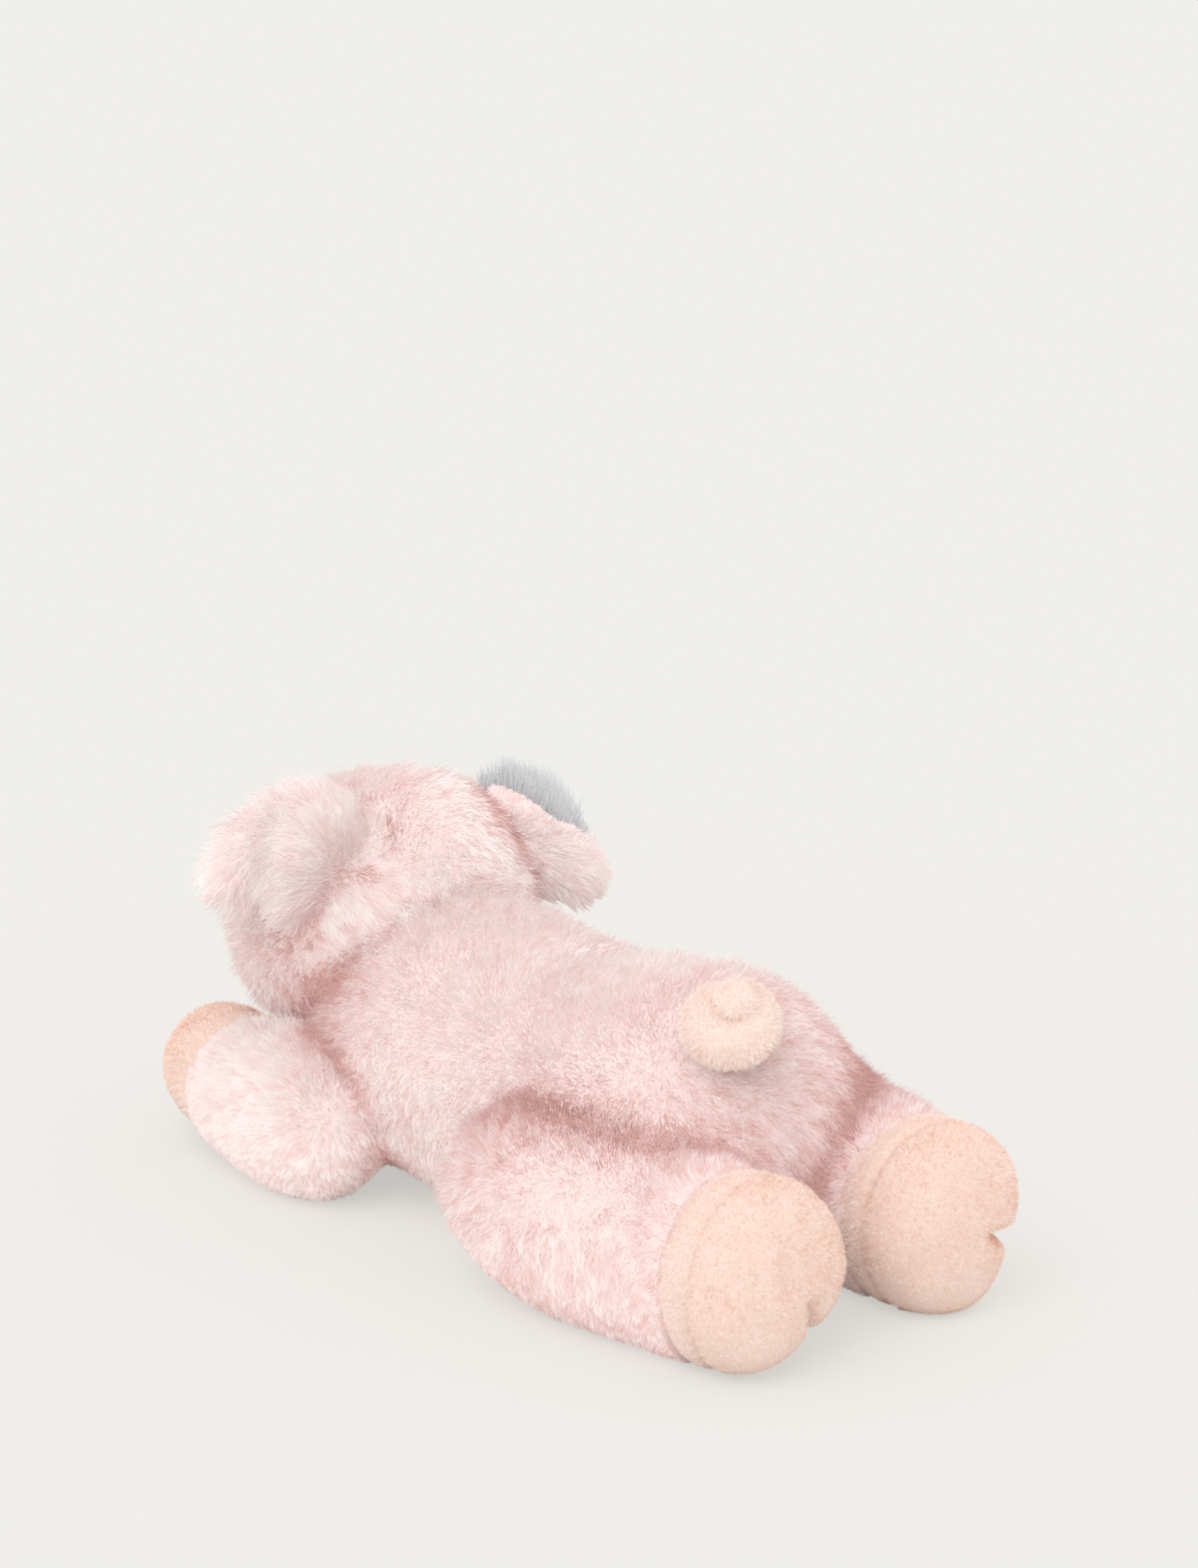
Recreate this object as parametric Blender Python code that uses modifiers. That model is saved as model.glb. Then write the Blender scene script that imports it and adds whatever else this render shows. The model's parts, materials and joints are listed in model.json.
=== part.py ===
# A plush pig lying on its belly, legs stretched out fore and aft.
# Metres, +Z up, face towards -Y, the pig's left side at +X, the floor at Z = 0.
# Each soft part is a sewn cloth cover over its own stuffing.

import math

import bmesh
import bpy
from mathutils import Matrix, Vector

# Cloth, seams and clearances
cover_wall = 0.0022
seat_gap = 0.0003
filling_gap = 0.0008
sweep_gap = 0.0006
floor_press = 0.0005
cut_overrun = 0.02

# Torso, from the chest to the end of the rump.
# Each row of a form is one ring: its place along the length, its width, its height,
# and how far it is lifted off the floor.
torso_length = 0.213
torso_width = 0.110
torso_height = 0.097
torso_front = 0.101
torso_shares = (
    (0.045, 0.60, 0.62, 0.170),
    (0.200, 0.85, 1.00, 0.065),
    (0.400, 0.86, 0.97, 0.010),
    (0.600, 0.92, 0.94, 0.000),
    (0.790, 1.02, 1.05, 0.015),
    (0.945, 0.80, 0.80, 0.120),
)

# Head, from the nape to the flat end of the snout.
# Its rows give each ring's centre above or below the head's own centre.
head_length = 0.109
head_width = 0.101
head_height = 0.088
head_back = 0.047
head_centre_side = -0.0045
head_centre_forward = 0.099
head_centre_height = 0.086
head_roll_deg = 8.0
head_nod_deg = 4.0
head_shares = (
    (0.070, 0.62, 0.64, 0.010),
    (0.260, 0.96, 0.97, 0.020),
    (0.470, 1.00, 1.00, -0.010),
    (0.680, 0.82, 0.82, -0.070),
    (0.830, 0.46, 0.47, -0.140),
    (0.965, 0.38, 0.38, -0.165),
)
snout_cut_share = 0.850
neck_opening_radius = 0.021
neck_turn_deg = 20.0

# Hind legs, from the hip to the sole
hind_length = 0.147
hind_width = 0.061
hind_height = 0.064
hind_spread = {"left": 0.0525, "right": 0.0475}
hind_start = 0.015
hind_splay_deg = -5.0
hind_shares = (
    (0.080, 0.66, 0.70, 0.180),
    (0.310, 1.08, 1.05, 0.010),
    (0.660, 0.80, 0.86, 0.020),
    (0.830, 1.00, 1.02, 0.000),
    (0.955, 0.84, 0.86, 0.070),
)
hind_cuff_share = 0.735
hind_raise_deg = 15.0
hind_lower_deg = 30.0

# Front legs, from the shoulder to the sole
front_length = 0.121
front_width = 0.053
front_height = 0.054
front_spread = 0.0535
front_start = 0.040
front_splay_deg = -11.0
front_shares = (
    (0.080, 0.66, 0.72, 0.200),
    (0.310, 1.00, 1.03, 0.030),
    (0.690, 0.80, 0.81, 0.090),
    (0.830, 0.84, 0.85, 0.130),
    (0.955, 0.68, 0.70, 0.200),
)
front_cuff_share = 0.710
front_raise_deg = 4.0
front_lower_deg = 30.0

# Cloven toes: how far the cleft is drawn in, and which way it faces from straight down
cleft_share = 0.64
cleft_turn_deg = {"left_hind": 23.0, "right_hind": 70.0, "left_front": 0.0, "right_front": 0.0}

# Ears: how far each one is swept forward and raised as it lies
ear_length = 0.044
ear_width = 0.047
ear_half_thickness = 0.0042
ear_root_depth = 0.012
ear_root_side = 0.0400
ear_root_back = 0.020
ear_root_height = 0.025
ear_lean_deg = 20.0
ear_sweep_deg = {"left": 30.0, "right": 0.0}
ear_raise_deg = {"left": 14.0, "right": 8.0}
ear_root_droop_deg = 6.0
ear_tip_droop_deg = 27.0
ear_cup = 0.006
ear_swing_deg = 25.0

# Tail, a stuffed tube curled up on itself
tail_turns = 1.3
tail_root_radius = 0.0080
tail_tip_radius = 0.0046
tail_curl_radius = 0.0105
tail_tip_curl_share = 0.42
tail_rise = 0.0180
tail_neck = 0.0124
tail_back = 0.094
tail_side = 0.003
tail_lean_share = 0.20
tail_points = 22

# Eyes, each a dome on a stem held by a washer inside the head
eye_radius = 0.0045
eye_stem_radius = 0.0016
eye_stem_length = 0.0105
eye_side = 0.0195
eye_height = 0.006
washer_radius = 0.0058
washer_thickness = 0.0014
washer_recess = 0.0018

# Nostrils, raised satin stitching on the end of the snout
nostril_width = 0.0045
nostril_height = 0.0070
nostril_depth = 0.0012
nostril_spacing = 0.0120

# Mesh fineness
form_segments = 8
round_steps = 12
sweep_step_deg = 7.5


def clear_scene():
    for old in list(bpy.data.objects):
        bpy.data.objects.remove(old, do_unlink=True)


def new_collection(name):
    made = bpy.data.collections.new(name)
    bpy.context.scene.collection.children.link(made)
    return made


def new_material(name, colour, roughness, metallic=0.0):
    made = bpy.data.materials.new(name)
    made.use_nodes = True
    shader = made.node_tree.nodes["Principled BSDF"]
    shader.inputs["Base Color"].default_value = (*colour, 1.0)
    shader.inputs["Roughness"].default_value = roughness
    shader.inputs["Metallic"].default_value = metallic
    return made


def add_object(name, data, collection, parent=None):
    made = bpy.data.objects.new(name, data)
    collection.objects.link(made)
    made.parent = parent
    return made


def add_empty(name, collection, place, turn=(0.0, 0.0, 0.0), parent=None):
    made = add_object(name, None, collection, parent)
    made.location = place
    made.rotation_euler = turn
    return made


def as_cutter(piece):
    piece.hide_render = True
    piece.display_type = "WIRE"
    return piece


def cut(piece, tools):
    # Every tool is taken away from the piece in one step
    group = bpy.data.collections.new(piece.name + "_cuts")
    cutters.children.link(group)
    for tool in tools:
        group.objects.link(tool)
    step = piece.modifiers.new("cuts", "BOOLEAN")
    step.operation = "DIFFERENCE"
    step.solver = "EXACT"
    step.operand_type = "COLLECTION"
    step.collection = group


def box_cutter(name, collection, low, high, parent=None):
    mesh = bpy.data.meshes.new(name)
    bm = bmesh.new()
    bmesh.ops.create_cube(bm, size=1.0)
    low = Vector(low)
    high = Vector(high)
    for vert in bm.verts:
        vert.co = (low + high) / 2 + Vector(a * b for a, b in zip(vert.co, high - low))
    bm.to_mesh(mesh)
    bm.free()
    return as_cutter(add_object(name, mesh, collection, parent))


def rod_mesh(name, radius, low, high):
    # A plain rod along its own Z
    mesh = bpy.data.meshes.new(name)
    bm = bmesh.new()
    bmesh.ops.create_cone(bm, cap_ends=True, segments=round_steps, radius1=radius, radius2=radius, depth=high - low)
    bmesh.ops.translate(bm, verts=bm.verts, vec=(0, 0, (low + high) / 2))
    bm.to_mesh(mesh)
    bm.free()
    return mesh


def level_centres(rows, height):
    # Each ring stands on the floor, or is lifted off it by a share of the height
    return [(row[2] / 2 + row[3]) * height for row in rows]


def swelling_mesh(name, rows, centres, size, segments, cleft_angle=None, cleft_rows=0):
    # A closed form along +Y whose rings swell and taper as the rows say.
    # Subdividing draws a ring of few sides inwards, so the rings start that much larger.
    length, width, height = size
    swell = 1 / (0.75 + 0.25 * math.cos(math.tau / segments))
    count = len(rows) + 1
    first_angle = cleft_angle or 0.0
    bm = bmesh.new()
    bmesh.ops.create_uvsphere(bm, u_segments=segments, v_segments=count, radius=1.0)
    for vert in bm.verts:
        x, y, z = vert.co
        step = round(math.acos(max(-1.0, min(1.0, z))) / math.pi * count)
        if step in (0, count):
            end = 0 if step == 0 else -1
            vert.co = (0.0, 0.0 if step == 0 else length, centres[end])
            continue
        along, wide, high = rows[step - 1][:3]
        around = math.atan2(y, x)
        reach = swell
        if cleft_angle is not None and abs(around) < math.pi / segments and step > count - 1 - cleft_rows:
            reach = swell * cleft_share
        angle = around + first_angle
        vert.co = (
            math.cos(angle) * wide * width / 2 * reach,
            along * length,
            centres[step - 1] + math.sin(angle) * high * height / 2 * reach,
        )
    mesh = bpy.data.meshes.new(name)
    bm.to_mesh(mesh)
    bm.free()
    mesh.shade_smooth()
    return mesh


def smooth(piece, levels=1):
    step = piece.modifiers.new("rounding", "SUBSURF")
    step.levels = levels
    step.render_levels = levels


def swell_by(piece, distance):
    step = piece.modifiers.new("offset", "DISPLACE")
    step.mid_level = 0.0
    step.strength = distance


def give_wall(piece, wall):
    step = piece.modifiers.new("cloth", "SOLIDIFY")
    step.thickness = wall
    step.offset = -1.0


def settled(mesh, place):
    # Lowers a form in its place until its underside presses into the floor
    probe = bpy.data.objects.new("probe", mesh)
    bpy.context.scene.collection.objects.link(probe)
    probe.matrix_world = place
    smooth(probe)
    bpy.context.view_layer.update()
    shape = probe.evaluated_get(bpy.context.evaluated_depsgraph_get())
    lowest = min((place @ vert.co).z for vert in shape.data.vertices)
    bpy.data.objects.remove(probe)
    return -floor_press - lowest


def surface_hit(mesh, start, direction):
    # Where a straight line meets the rounded form, and the way the form faces there
    probe = bpy.data.objects.new("probe", mesh)
    bpy.context.scene.collection.objects.link(probe)
    smooth(probe)
    bpy.context.view_layer.update()
    shape = probe.evaluated_get(bpy.context.evaluated_depsgraph_get())
    found, point, normal, _ = shape.ray_cast(Vector(start), Vector(direction))
    point = Vector(point)
    normal = Vector(normal)
    bpy.data.objects.remove(probe)
    assert found, "no surface under " + str(start)
    return point, normal


def facing(point, normal):
    # A frame at a point of a surface, its Z pointing out of it
    return Matrix.Translation(point) @ normal.to_track_quat("Z", "Y").to_matrix().to_4x4()


def sweep_angles(low_deg, high_deg):
    # Even steps below and above the rest angle, both ends included
    angles = [0.0]
    for end in (low_deg, high_deg):
        count = math.ceil(abs(end) / sweep_step_deg)
        angles += [end * (index + 1) / count for index in range(count)]
    return angles


def swept_cutter(name, mesh, places, parent):
    # All the room that a rounded form takes up in its several places, with a gap around it
    group = new_collection(name + "_places")
    shapes = []
    for place in places:
        shape = add_object(name + "_place", mesh.copy(), group)
        shape.matrix_world = place
        smooth(shape)
        swell_by(shape, sweep_gap)
        shapes.append(shape)
    first = shapes[0]
    group.objects.unlink(first)
    bpy.context.scene.collection.objects.link(first)
    step = first.modifiers.new("joined", "BOOLEAN")
    step.operation = "UNION"
    step.solver = "EXACT"
    step.operand_type = "COLLECTION"
    step.collection = group
    bpy.context.view_layer.update()
    graph = bpy.context.evaluated_depsgraph_get()
    joined = bpy.data.meshes.new_from_object(first.evaluated_get(graph))
    joined.transform(first.matrix_world)
    for shape in shapes:
        bpy.data.objects.remove(shape)
    bpy.data.collections.remove(group)
    return as_cutter(add_object(name, joined, cutters, parent))


clear_scene()
parts = new_collection("plush_pig")
cutters = new_collection("cutters")
origin = add_empty("pig_origin", parts, (0, 0, 0))
planned_cuts = []

pink = (0.905, 0.640, 0.625)
cream = (0.930, 0.760, 0.620)
grey = (0.520, 0.520, 0.540)
stuffing = (0.900, 0.900, 0.880)


def finish(piece, colour, roughness=0.9, metallic=0.0):
    piece.data.materials.append(new_material(piece.name, colour, roughness, metallic))


# Torso
torso_rows = torso_shares
torso_size = (torso_length, torso_width, torso_height)
torso_mesh = swelling_mesh(
    "torso_form", torso_rows, level_centres(torso_rows, torso_height), torso_size, form_segments
)
torso_place = Matrix.Translation((0, -torso_front, 0))
torso_place = Matrix.Translation((0, 0, settled(torso_mesh, torso_place))) @ torso_place
hip_row = torso_rows[4]
shoulder_row = torso_rows[1]


def torso_point(row):
    # The middle of one of the torso's rings
    height = (row[2] / 2 + row[3]) * torso_height
    return torso_place @ Vector((0, row[0] * torso_length, height))


hip_centre = torso_point(hip_row)
shoulder_centre = torso_point(shoulder_row)


def torso_form(name):
    piece = add_object(name, torso_mesh.copy(), parts, origin)
    piece.matrix_local = torso_place
    smooth(piece)
    return piece


# Head, built round its own centre and set on the neck
head_mesh = swelling_mesh(
    "head_form",
    head_shares,
    [row[3] * head_height for row in head_shares],
    (head_length, head_width, head_height),
    form_segments,
)
head_mesh.transform(Matrix.Translation((0, -head_back, 0)))
head_mesh.transform(Matrix.Rotation(math.pi, 4, "Z"))
head_centre = Vector((head_centre_side, -head_centre_forward, head_centre_height))
head_turn = Matrix.Rotation(math.radians(-head_roll_deg), 4, "Y") @ Matrix.Rotation(
    math.radians(head_nod_deg), 4, "X"
)
neck_axis = (head_centre - shoulder_centre).normalized()
neck_pivot = add_empty("neck_pivot", parts, head_centre, parent=origin)
head_frame = add_empty("head_frame", parts, (0, 0, 0), head_turn.to_euler(), parent=neck_pivot)


def head_form(name):
    piece = add_object(name, head_mesh.copy(), parts, head_frame)
    smooth(piece)
    return piece


# What the floor presses flat
reach = torso_length + hind_length + front_length
floor_cut = box_cutter("floor_cut", cutters, (-reach, -reach, -cut_overrun), (reach, reach, 0.0), origin)

head_sweep = swept_cutter(
    "head_sweep",
    head_mesh,
    [
        Matrix.Translation(head_centre) @ Matrix.Rotation(math.radians(angle), 4, neck_axis) @ head_turn
        for angle in sweep_angles(-neck_turn_deg, neck_turn_deg)
    ],
    origin,
)

torso_cover = torso_form("torso_cover")
give_wall(torso_cover, cover_wall)
torso_filling = torso_form("torso_filling")
swell_by(torso_filling, -cover_wall - filling_gap)
finish(torso_cover, pink)
finish(torso_filling, stuffing)

# Head cover, snout cover and head filling
head_cover = head_form("head_cover")
snout_cover = head_form("snout_cover")
head_filling = head_form("head_filling")
give_wall(head_cover, cover_wall)
give_wall(snout_cover, cover_wall)
swell_by(head_filling, -cover_wall - filling_gap)
finish(head_cover, pink)
finish(snout_cover, cream)
finish(head_filling, stuffing)
snout_plane = head_back - snout_cut_share * head_length
wide = head_width
snout_ahead = box_cutter(
    "snout_ahead", cutters, (-wide, -head_length, -wide), (wide, snout_plane + seat_gap / 2, wide), head_frame
)
snout_behind = box_cutter(
    "snout_behind", cutters, (-wide, snout_plane - seat_gap / 2, -wide), (wide, head_length, wide), head_frame
)
neck_hole = as_cutter(
    add_object("neck_hole", rod_mesh("neck_hole", neck_opening_radius, 0.0, head_length), cutters, origin)
)
neck_hole.matrix_local = Matrix.Translation(head_centre) @ (-neck_axis).to_track_quat("Z", "Y").to_matrix().to_4x4()
head_cover_tools = [snout_ahead, neck_hole]
snout_cover_tools = [snout_behind]
head_filling_tools = []


# Eyes with their stems and washers
def turned_mesh(name, profile):
    # A profile of (radius, height) points, running down its outer side
    mesh = bpy.data.meshes.new(name)
    bm = bmesh.new()
    verts = [bm.verts.new((radius, 0.0, height)) for radius, height in profile]
    for first, second in zip(verts, verts[1:]):
        bm.edges.new((first, second))
    bm.to_mesh(mesh)
    bm.free()
    return mesh


def spin_profile(piece):
    step = piece.modifiers.new("turning", "SCREW")
    step.steps = round_steps
    step.render_steps = round_steps
    step.use_merge_vertices = True
    step.merge_threshold = 0.00001


eye_seat = 2 * seat_gap
washer_depth = cover_wall + seat_gap + washer_recess


def add_eye(side_name, side):
    point, normal = surface_hit(head_mesh, (side * eye_side, -head_length, eye_height), (0, 1, 0))
    place = facing(point, normal)
    base = seat_gap - eye_seat
    dome = [
        (eye_radius * math.sin(math.radians(a)), base + eye_radius * math.cos(math.radians(a)))
        for a in range(0, 91, 18)
    ]
    stem_end = base - eye_stem_length
    profile = dome + [(eye_stem_radius, base), (eye_stem_radius, stem_end), (0.0, stem_end)]
    eye = add_object(side_name + "_eye", turned_mesh("eye", profile), parts, head_frame)
    eye.matrix_local = place
    spin_profile(eye)
    finish(eye, (0.01, 0.01, 0.012), 0.08)

    inner = eye_stem_radius + seat_gap / 2
    top = -washer_depth
    bottom = top - washer_thickness
    ring = [(inner, top), (washer_radius, top), (washer_radius, bottom), (inner, bottom), (inner, top)]
    washer = add_object(side_name + "_eye_washer", turned_mesh("washer", ring), parts, head_frame)
    washer.matrix_local = place
    spin_profile(washer)
    finish(washer, (0.85, 0.85, 0.83), 0.4)

    cuts = {
        "seat": (eye_radius + seat_gap, -eye_seat, cut_overrun),
        "hole": (eye_stem_radius + seat_gap, stem_end - seat_gap, cut_overrun),
        "pocket": (washer_radius + seat_gap, bottom - seat_gap, cut_overrun),
    }
    made = {}
    for kind, (radius, low, high) in cuts.items():
        name = side_name + "_eye_" + kind
        made[kind] = as_cutter(add_object(name, rod_mesh(name, radius, low, high), cutters, head_frame))
        made[kind].matrix_local = place
    head_cover_tools.extend((made["seat"], made["hole"]))
    head_filling_tools.extend((made["pocket"], made["hole"]))


add_eye("left", 1)
add_eye("right", -1)


# Nostrils
def oval_mesh(name, width, height, depth, overrun):
    # Half of a flattened ball standing on its flat side, or a straight cutter for its seat
    mesh = bpy.data.meshes.new(name)
    bm = bmesh.new()
    if overrun:
        bmesh.ops.create_cone(bm, cap_ends=True, segments=round_steps, radius1=1.0, radius2=1.0, depth=1.0)
        bmesh.ops.translate(bm, verts=bm.verts, vec=(0, 0, 0.5))
        bmesh.ops.scale(bm, verts=bm.verts, vec=(width / 2, height / 2, depth + overrun))
        bmesh.ops.translate(bm, verts=bm.verts, vec=(0, 0, -depth))
    else:
        bmesh.ops.create_uvsphere(bm, u_segments=10, v_segments=6, radius=1.0)
        for vert in bm.verts:
            vert.co.z = max(vert.co.z, 0.0)
        bmesh.ops.remove_doubles(bm, verts=bm.verts, dist=0.0001)
        bmesh.ops.dissolve_degenerate(bm, edges=bm.edges, dist=0.0001)
        bmesh.ops.scale(bm, verts=bm.verts, vec=(width / 2, height / 2, depth))
    bm.to_mesh(mesh)
    bm.free()
    return mesh


nostril_seat = 2 * seat_gap
snout_height = head_shares[-1][3] * head_height
for side_name, side in (("left", 1), ("right", -1)):
    point, normal = surface_hit(head_mesh, (side * nostril_spacing / 2, -head_length, snout_height), (0, 1, 0))
    place = Matrix.Translation(point) @ Matrix.Rotation(math.radians(90), 4, "X")
    name = side_name + "_nostril"
    nostril = add_object(name, oval_mesh(name, nostril_width, nostril_height, nostril_depth, 0), parts, head_frame)
    nostril.matrix_local = place @ Matrix.Translation((0, 0, seat_gap - nostril_seat))
    finish(nostril, (0.62, 0.30, 0.29), 0.7)
    seat_mesh = oval_mesh(
        name + "_seat", nostril_width + 2 * seat_gap, nostril_height + 2 * seat_gap, nostril_seat, cut_overrun
    )
    seat = as_cutter(add_object(name + "_seat", seat_mesh, cutters, head_frame))
    seat.matrix_local = place
    snout_cover_tools.append(seat)

planned_cuts.append((head_cover, head_cover_tools))
planned_cuts.append((snout_cover, snout_cover_tools))
planned_cuts.append((head_filling, head_filling_tools))


# Ears: a pink back and a grey lining, each a pad flat on the side where they meet
def ear_mesh(name, side, facing_back):
    # The pad runs along X, spans Z and bulges along Y
    bm = bmesh.new()
    bmesh.ops.create_uvsphere(bm, u_segments=round_steps, v_segments=round_steps // 2, radius=1.0)
    outward = 1.0 if facing_back else -1.0
    for vert in bm.verts:
        x, y, z = vert.co
        thick = max(y * outward, 0.0) * ear_half_thickness
        along = (x + 1) / 2
        droop = math.radians(ear_root_droop_deg + (ear_tip_droop_deg - ear_root_droop_deg) * along)
        reach_out = along * (ear_length + ear_root_depth) - ear_root_depth
        vert.co = (
            side * reach_out * math.cos(droop),
            outward * (seat_gap / 2 + thick) - ear_cup * z ** 2,
            z * ear_width / 2 - reach_out * math.sin(droop),
        )
    bmesh.ops.dissolve_degenerate(bm, edges=bm.edges, dist=0.00001)
    bm.normal_update()
    bmesh.ops.recalc_face_normals(bm, faces=bm.faces)
    mesh = bpy.data.meshes.new(name)
    bm.to_mesh(mesh)
    bm.free()
    mesh.shade_smooth()
    return mesh


for side_name, side in (("left", 1), ("right", -1)):
    place = (
        Matrix.Translation((side * ear_root_side, ear_root_back, ear_root_height))
        @ Matrix.Rotation(math.radians(-side * ear_sweep_deg[side_name]), 4, "Z")
        @ Matrix.Rotation(math.radians(-side * ear_raise_deg[side_name]), 4, "Y")
        @ Matrix.Rotation(math.radians(ear_lean_deg), 4, "X")
    )
    pivot = add_empty(side_name + "_ear_pivot", parts, place.translation, place.to_euler(), head_frame)
    # The head as the ear meets it through its swing
    head_beside = swept_cutter(
        side_name + "_ear_sweep",
        head_mesh,
        [
            Matrix.Rotation(math.radians(angle), 4, "Z") @ place.inverted()
            for angle in sweep_angles(-ear_swing_deg, ear_swing_deg)
        ],
        pivot,
    )
    back = add_object(side_name + "_ear_back", ear_mesh("ear_back", side, True), parts, pivot)
    lining = add_object(side_name + "_ear_lining", ear_mesh("ear_lining", side, False), parts, pivot)
    planned_cuts.append((back, [head_beside]))
    planned_cuts.append((lining, [head_beside]))
    finish(back, pink)
    finish(lining, grey)


# Legs
def torso_sweep(name, point, low_deg, high_deg):
    # The torso as a leg meets it while it swings about a point
    places = []
    for angle in sweep_angles(-high_deg, -low_deg):
        turned = Matrix.Translation(point) @ Matrix.Rotation(math.radians(angle), 4, "X")
        places.append(turned @ Matrix.Translation(-point) @ torso_place)
    return swept_cutter(name, torso_mesh, places, origin)


def add_leg(name, side, rows, size, spread, start, splay_deg, cuff_share, pivot_point, torso_beside, forward):
    length, width, height = size
    toe_down = math.radians(cleft_turn_deg[name])
    # The cleft faces down and, turned, towards the pig's right
    across = -math.sin(toe_down) * (-1 if forward else 1)
    cleft_angle = math.atan2(-math.cos(toe_down), across)
    mesh = swelling_mesh(
        name, rows, level_centres(rows, height), size, form_segments, cleft_angle, cleft_rows=2
    )
    heading = math.pi if forward else 0.0
    splay = math.radians(splay_deg) * side * (-1 if not forward else 1)
    place = Matrix.Translation((side * spread, start * (-1 if forward else 1), 0))
    place = place @ Matrix.Rotation(heading + splay, 4, "Z")
    place = Matrix.Translation((0, 0, settled(mesh, place))) @ place
    pivot = add_empty(name + "_pivot", parts, pivot_point, parent=origin)
    in_pivot = Matrix.Translation(-pivot_point) @ place

    def form(piece_name):
        piece = add_object(piece_name, mesh.copy(), parts, pivot)
        piece.data.transform(in_pivot)
        smooth(piece)
        return piece

    cover = form(name + "_leg_cover")
    hoof = form(name + "_hoof_cover")
    filling = form(name + "_leg_filling")
    give_wall(cover, cover_wall)
    give_wall(hoof, cover_wall)
    swell_by(filling, -cover_wall - filling_gap)
    finish(cover, pink)
    finish(hoof, cream)
    finish(filling, stuffing)

    cuff = cuff_share * length
    beyond = box_cutter(
        name + "_beyond_cuff", cutters, (-width, cuff - seat_gap / 2, -height), (width, 2 * length, 2 * height), pivot
    )
    before = box_cutter(
        name + "_before_cuff", cutters, (-width, -length, -height), (width, cuff + seat_gap / 2, 2 * height), pivot
    )
    beyond.matrix_local = in_pivot
    before.matrix_local = in_pivot
    planned_cuts.append((cover, [beyond, floor_cut, torso_beside]))
    planned_cuts.append((hoof, [before, floor_cut]))
    planned_cuts.append((filling, [torso_beside]))


hind_sweep = torso_sweep("hind_sweep", hip_centre, -hind_lower_deg, hind_raise_deg)
front_sweep = torso_sweep("front_sweep", shoulder_centre, -front_raise_deg, front_lower_deg)
for side_name, side in (("left", 1), ("right", -1)):
    add_leg(
        side_name + "_hind",
        side,
        hind_shares,
        (hind_length, hind_width, hind_height),
        hind_spread[side_name],
        hind_start,
        hind_splay_deg,
        hind_cuff_share,
        hip_centre,
        hind_sweep,
        False,
    )
    add_leg(
        side_name + "_front",
        side,
        front_shares,
        (front_length, front_width, front_height),
        front_spread,
        front_start,
        front_splay_deg,
        front_cuff_share,
        shoulder_centre,
        front_sweep,
        True,
    )


# Tail
def tail_path():
    # A narrowing coil that climbs to a peak
    points = []
    for index in range(tail_points):
        share = index / (tail_points - 1)
        angle = math.tau * tail_turns * share
        curl = tail_curl_radius * (1 - share * (1 - tail_tip_curl_share))
        radius = tail_root_radius + (tail_tip_radius - tail_root_radius) * share
        points.append((Vector((curl * math.cos(angle), curl * math.sin(angle), tail_rise * share)), radius))
    return points


def least_self_gap(path):
    # The least room between stretches of the coil that are not next to each other
    travelled = [0.0]
    for (first, _), (second, _) in zip(path, path[1:]):
        travelled.append(travelled[-1] + (second - first).length)
    gaps = []
    for index, (first, first_radius) in enumerate(path):
        for other in range(index + 1, len(path)):
            second, second_radius = path[other]
            if travelled[other] - travelled[index] > math.pi / 2 * (first_radius + second_radius):
                gaps.append((second - first).length - first_radius - second_radius)
    return min(gaps)


def add_tail():
    start = torso_place.inverted() @ Vector((tail_side, tail_back, 2 * torso_height))
    point, normal = surface_hit(torso_mesh, start, (0, 0, -1))
    point = torso_place @ point
    # The coil stands out from the rump and leans to the pig's left
    out = (normal + Vector((tail_lean_share, 0, 0))).normalized()
    sideways = out.cross(Vector((0, 1, 0))).normalized()
    stance = Matrix((sideways, out.cross(sideways), out)).transposed().to_4x4()
    sink = tail_root_radius / 2
    coil = tail_path()
    root = coil[0][0]
    # The root drops straight from the coil into its socket in the rump
    drop = Vector((0, 0, tail_neck))
    entry = [(root - drop, tail_root_radius), (root - drop / 2, tail_root_radius)]
    curve = bpy.data.curves.new("tail", "CURVE")
    curve.dimensions = "3D"
    curve.bevel_depth = 1.0
    curve.bevel_resolution = 2
    curve.use_fill_caps = True
    spline = curve.splines.new("POLY")
    spline.points.add(len(entry + coil) - 1)
    for slot, (place, radius) in zip(spline.points, entry + coil):
        slot.co = (*(place - root + drop - Vector((0, 0, sink))), 1.0)
        slot.radius = radius
    pivot = add_empty("tail_pivot", parts, point, parent=origin)
    tail = add_object("tail", curve, parts, pivot)
    tail.matrix_local = stance
    finish(tail, cream)
    print("tail least gap to itself", round(least_self_gap(coil), 5))

    socket_radius = math.hypot(tail_root_radius, sink) / math.cos(math.pi / round_steps) + seat_gap
    mesh = bpy.data.meshes.new("tail_socket")
    bm = bmesh.new()
    bmesh.ops.create_uvsphere(bm, u_segments=round_steps, v_segments=round_steps // 2, radius=socket_radius)
    bm.to_mesh(mesh)
    bm.free()
    socket = as_cutter(add_object("tail_socket", mesh, cutters, origin))
    socket.location = point
    return socket


tail_socket = add_tail()
planned_cuts.append((torso_cover, [head_sweep, tail_socket, floor_cut]))
planned_cuts.append((torso_filling, [head_sweep, tail_socket]))


def reach_of_all():
    # The lowest and highest corner of the whole pig
    bpy.context.view_layer.update()
    graph = bpy.context.evaluated_depsgraph_get()
    corners = []
    for piece in parts.objects:
        if piece.type == "EMPTY":
            continue
        shape = piece.evaluated_get(graph)
        mesh = shape.to_mesh()
        corners += [shape.matrix_world @ vert.co for vert in mesh.vertices]
        shape.to_mesh_clear()
    low = [min(corner[axis] for corner in corners) for axis in range(3)]
    high = [max(corner[axis] for corner in corners) for axis in range(3)]
    return low, high


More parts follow.
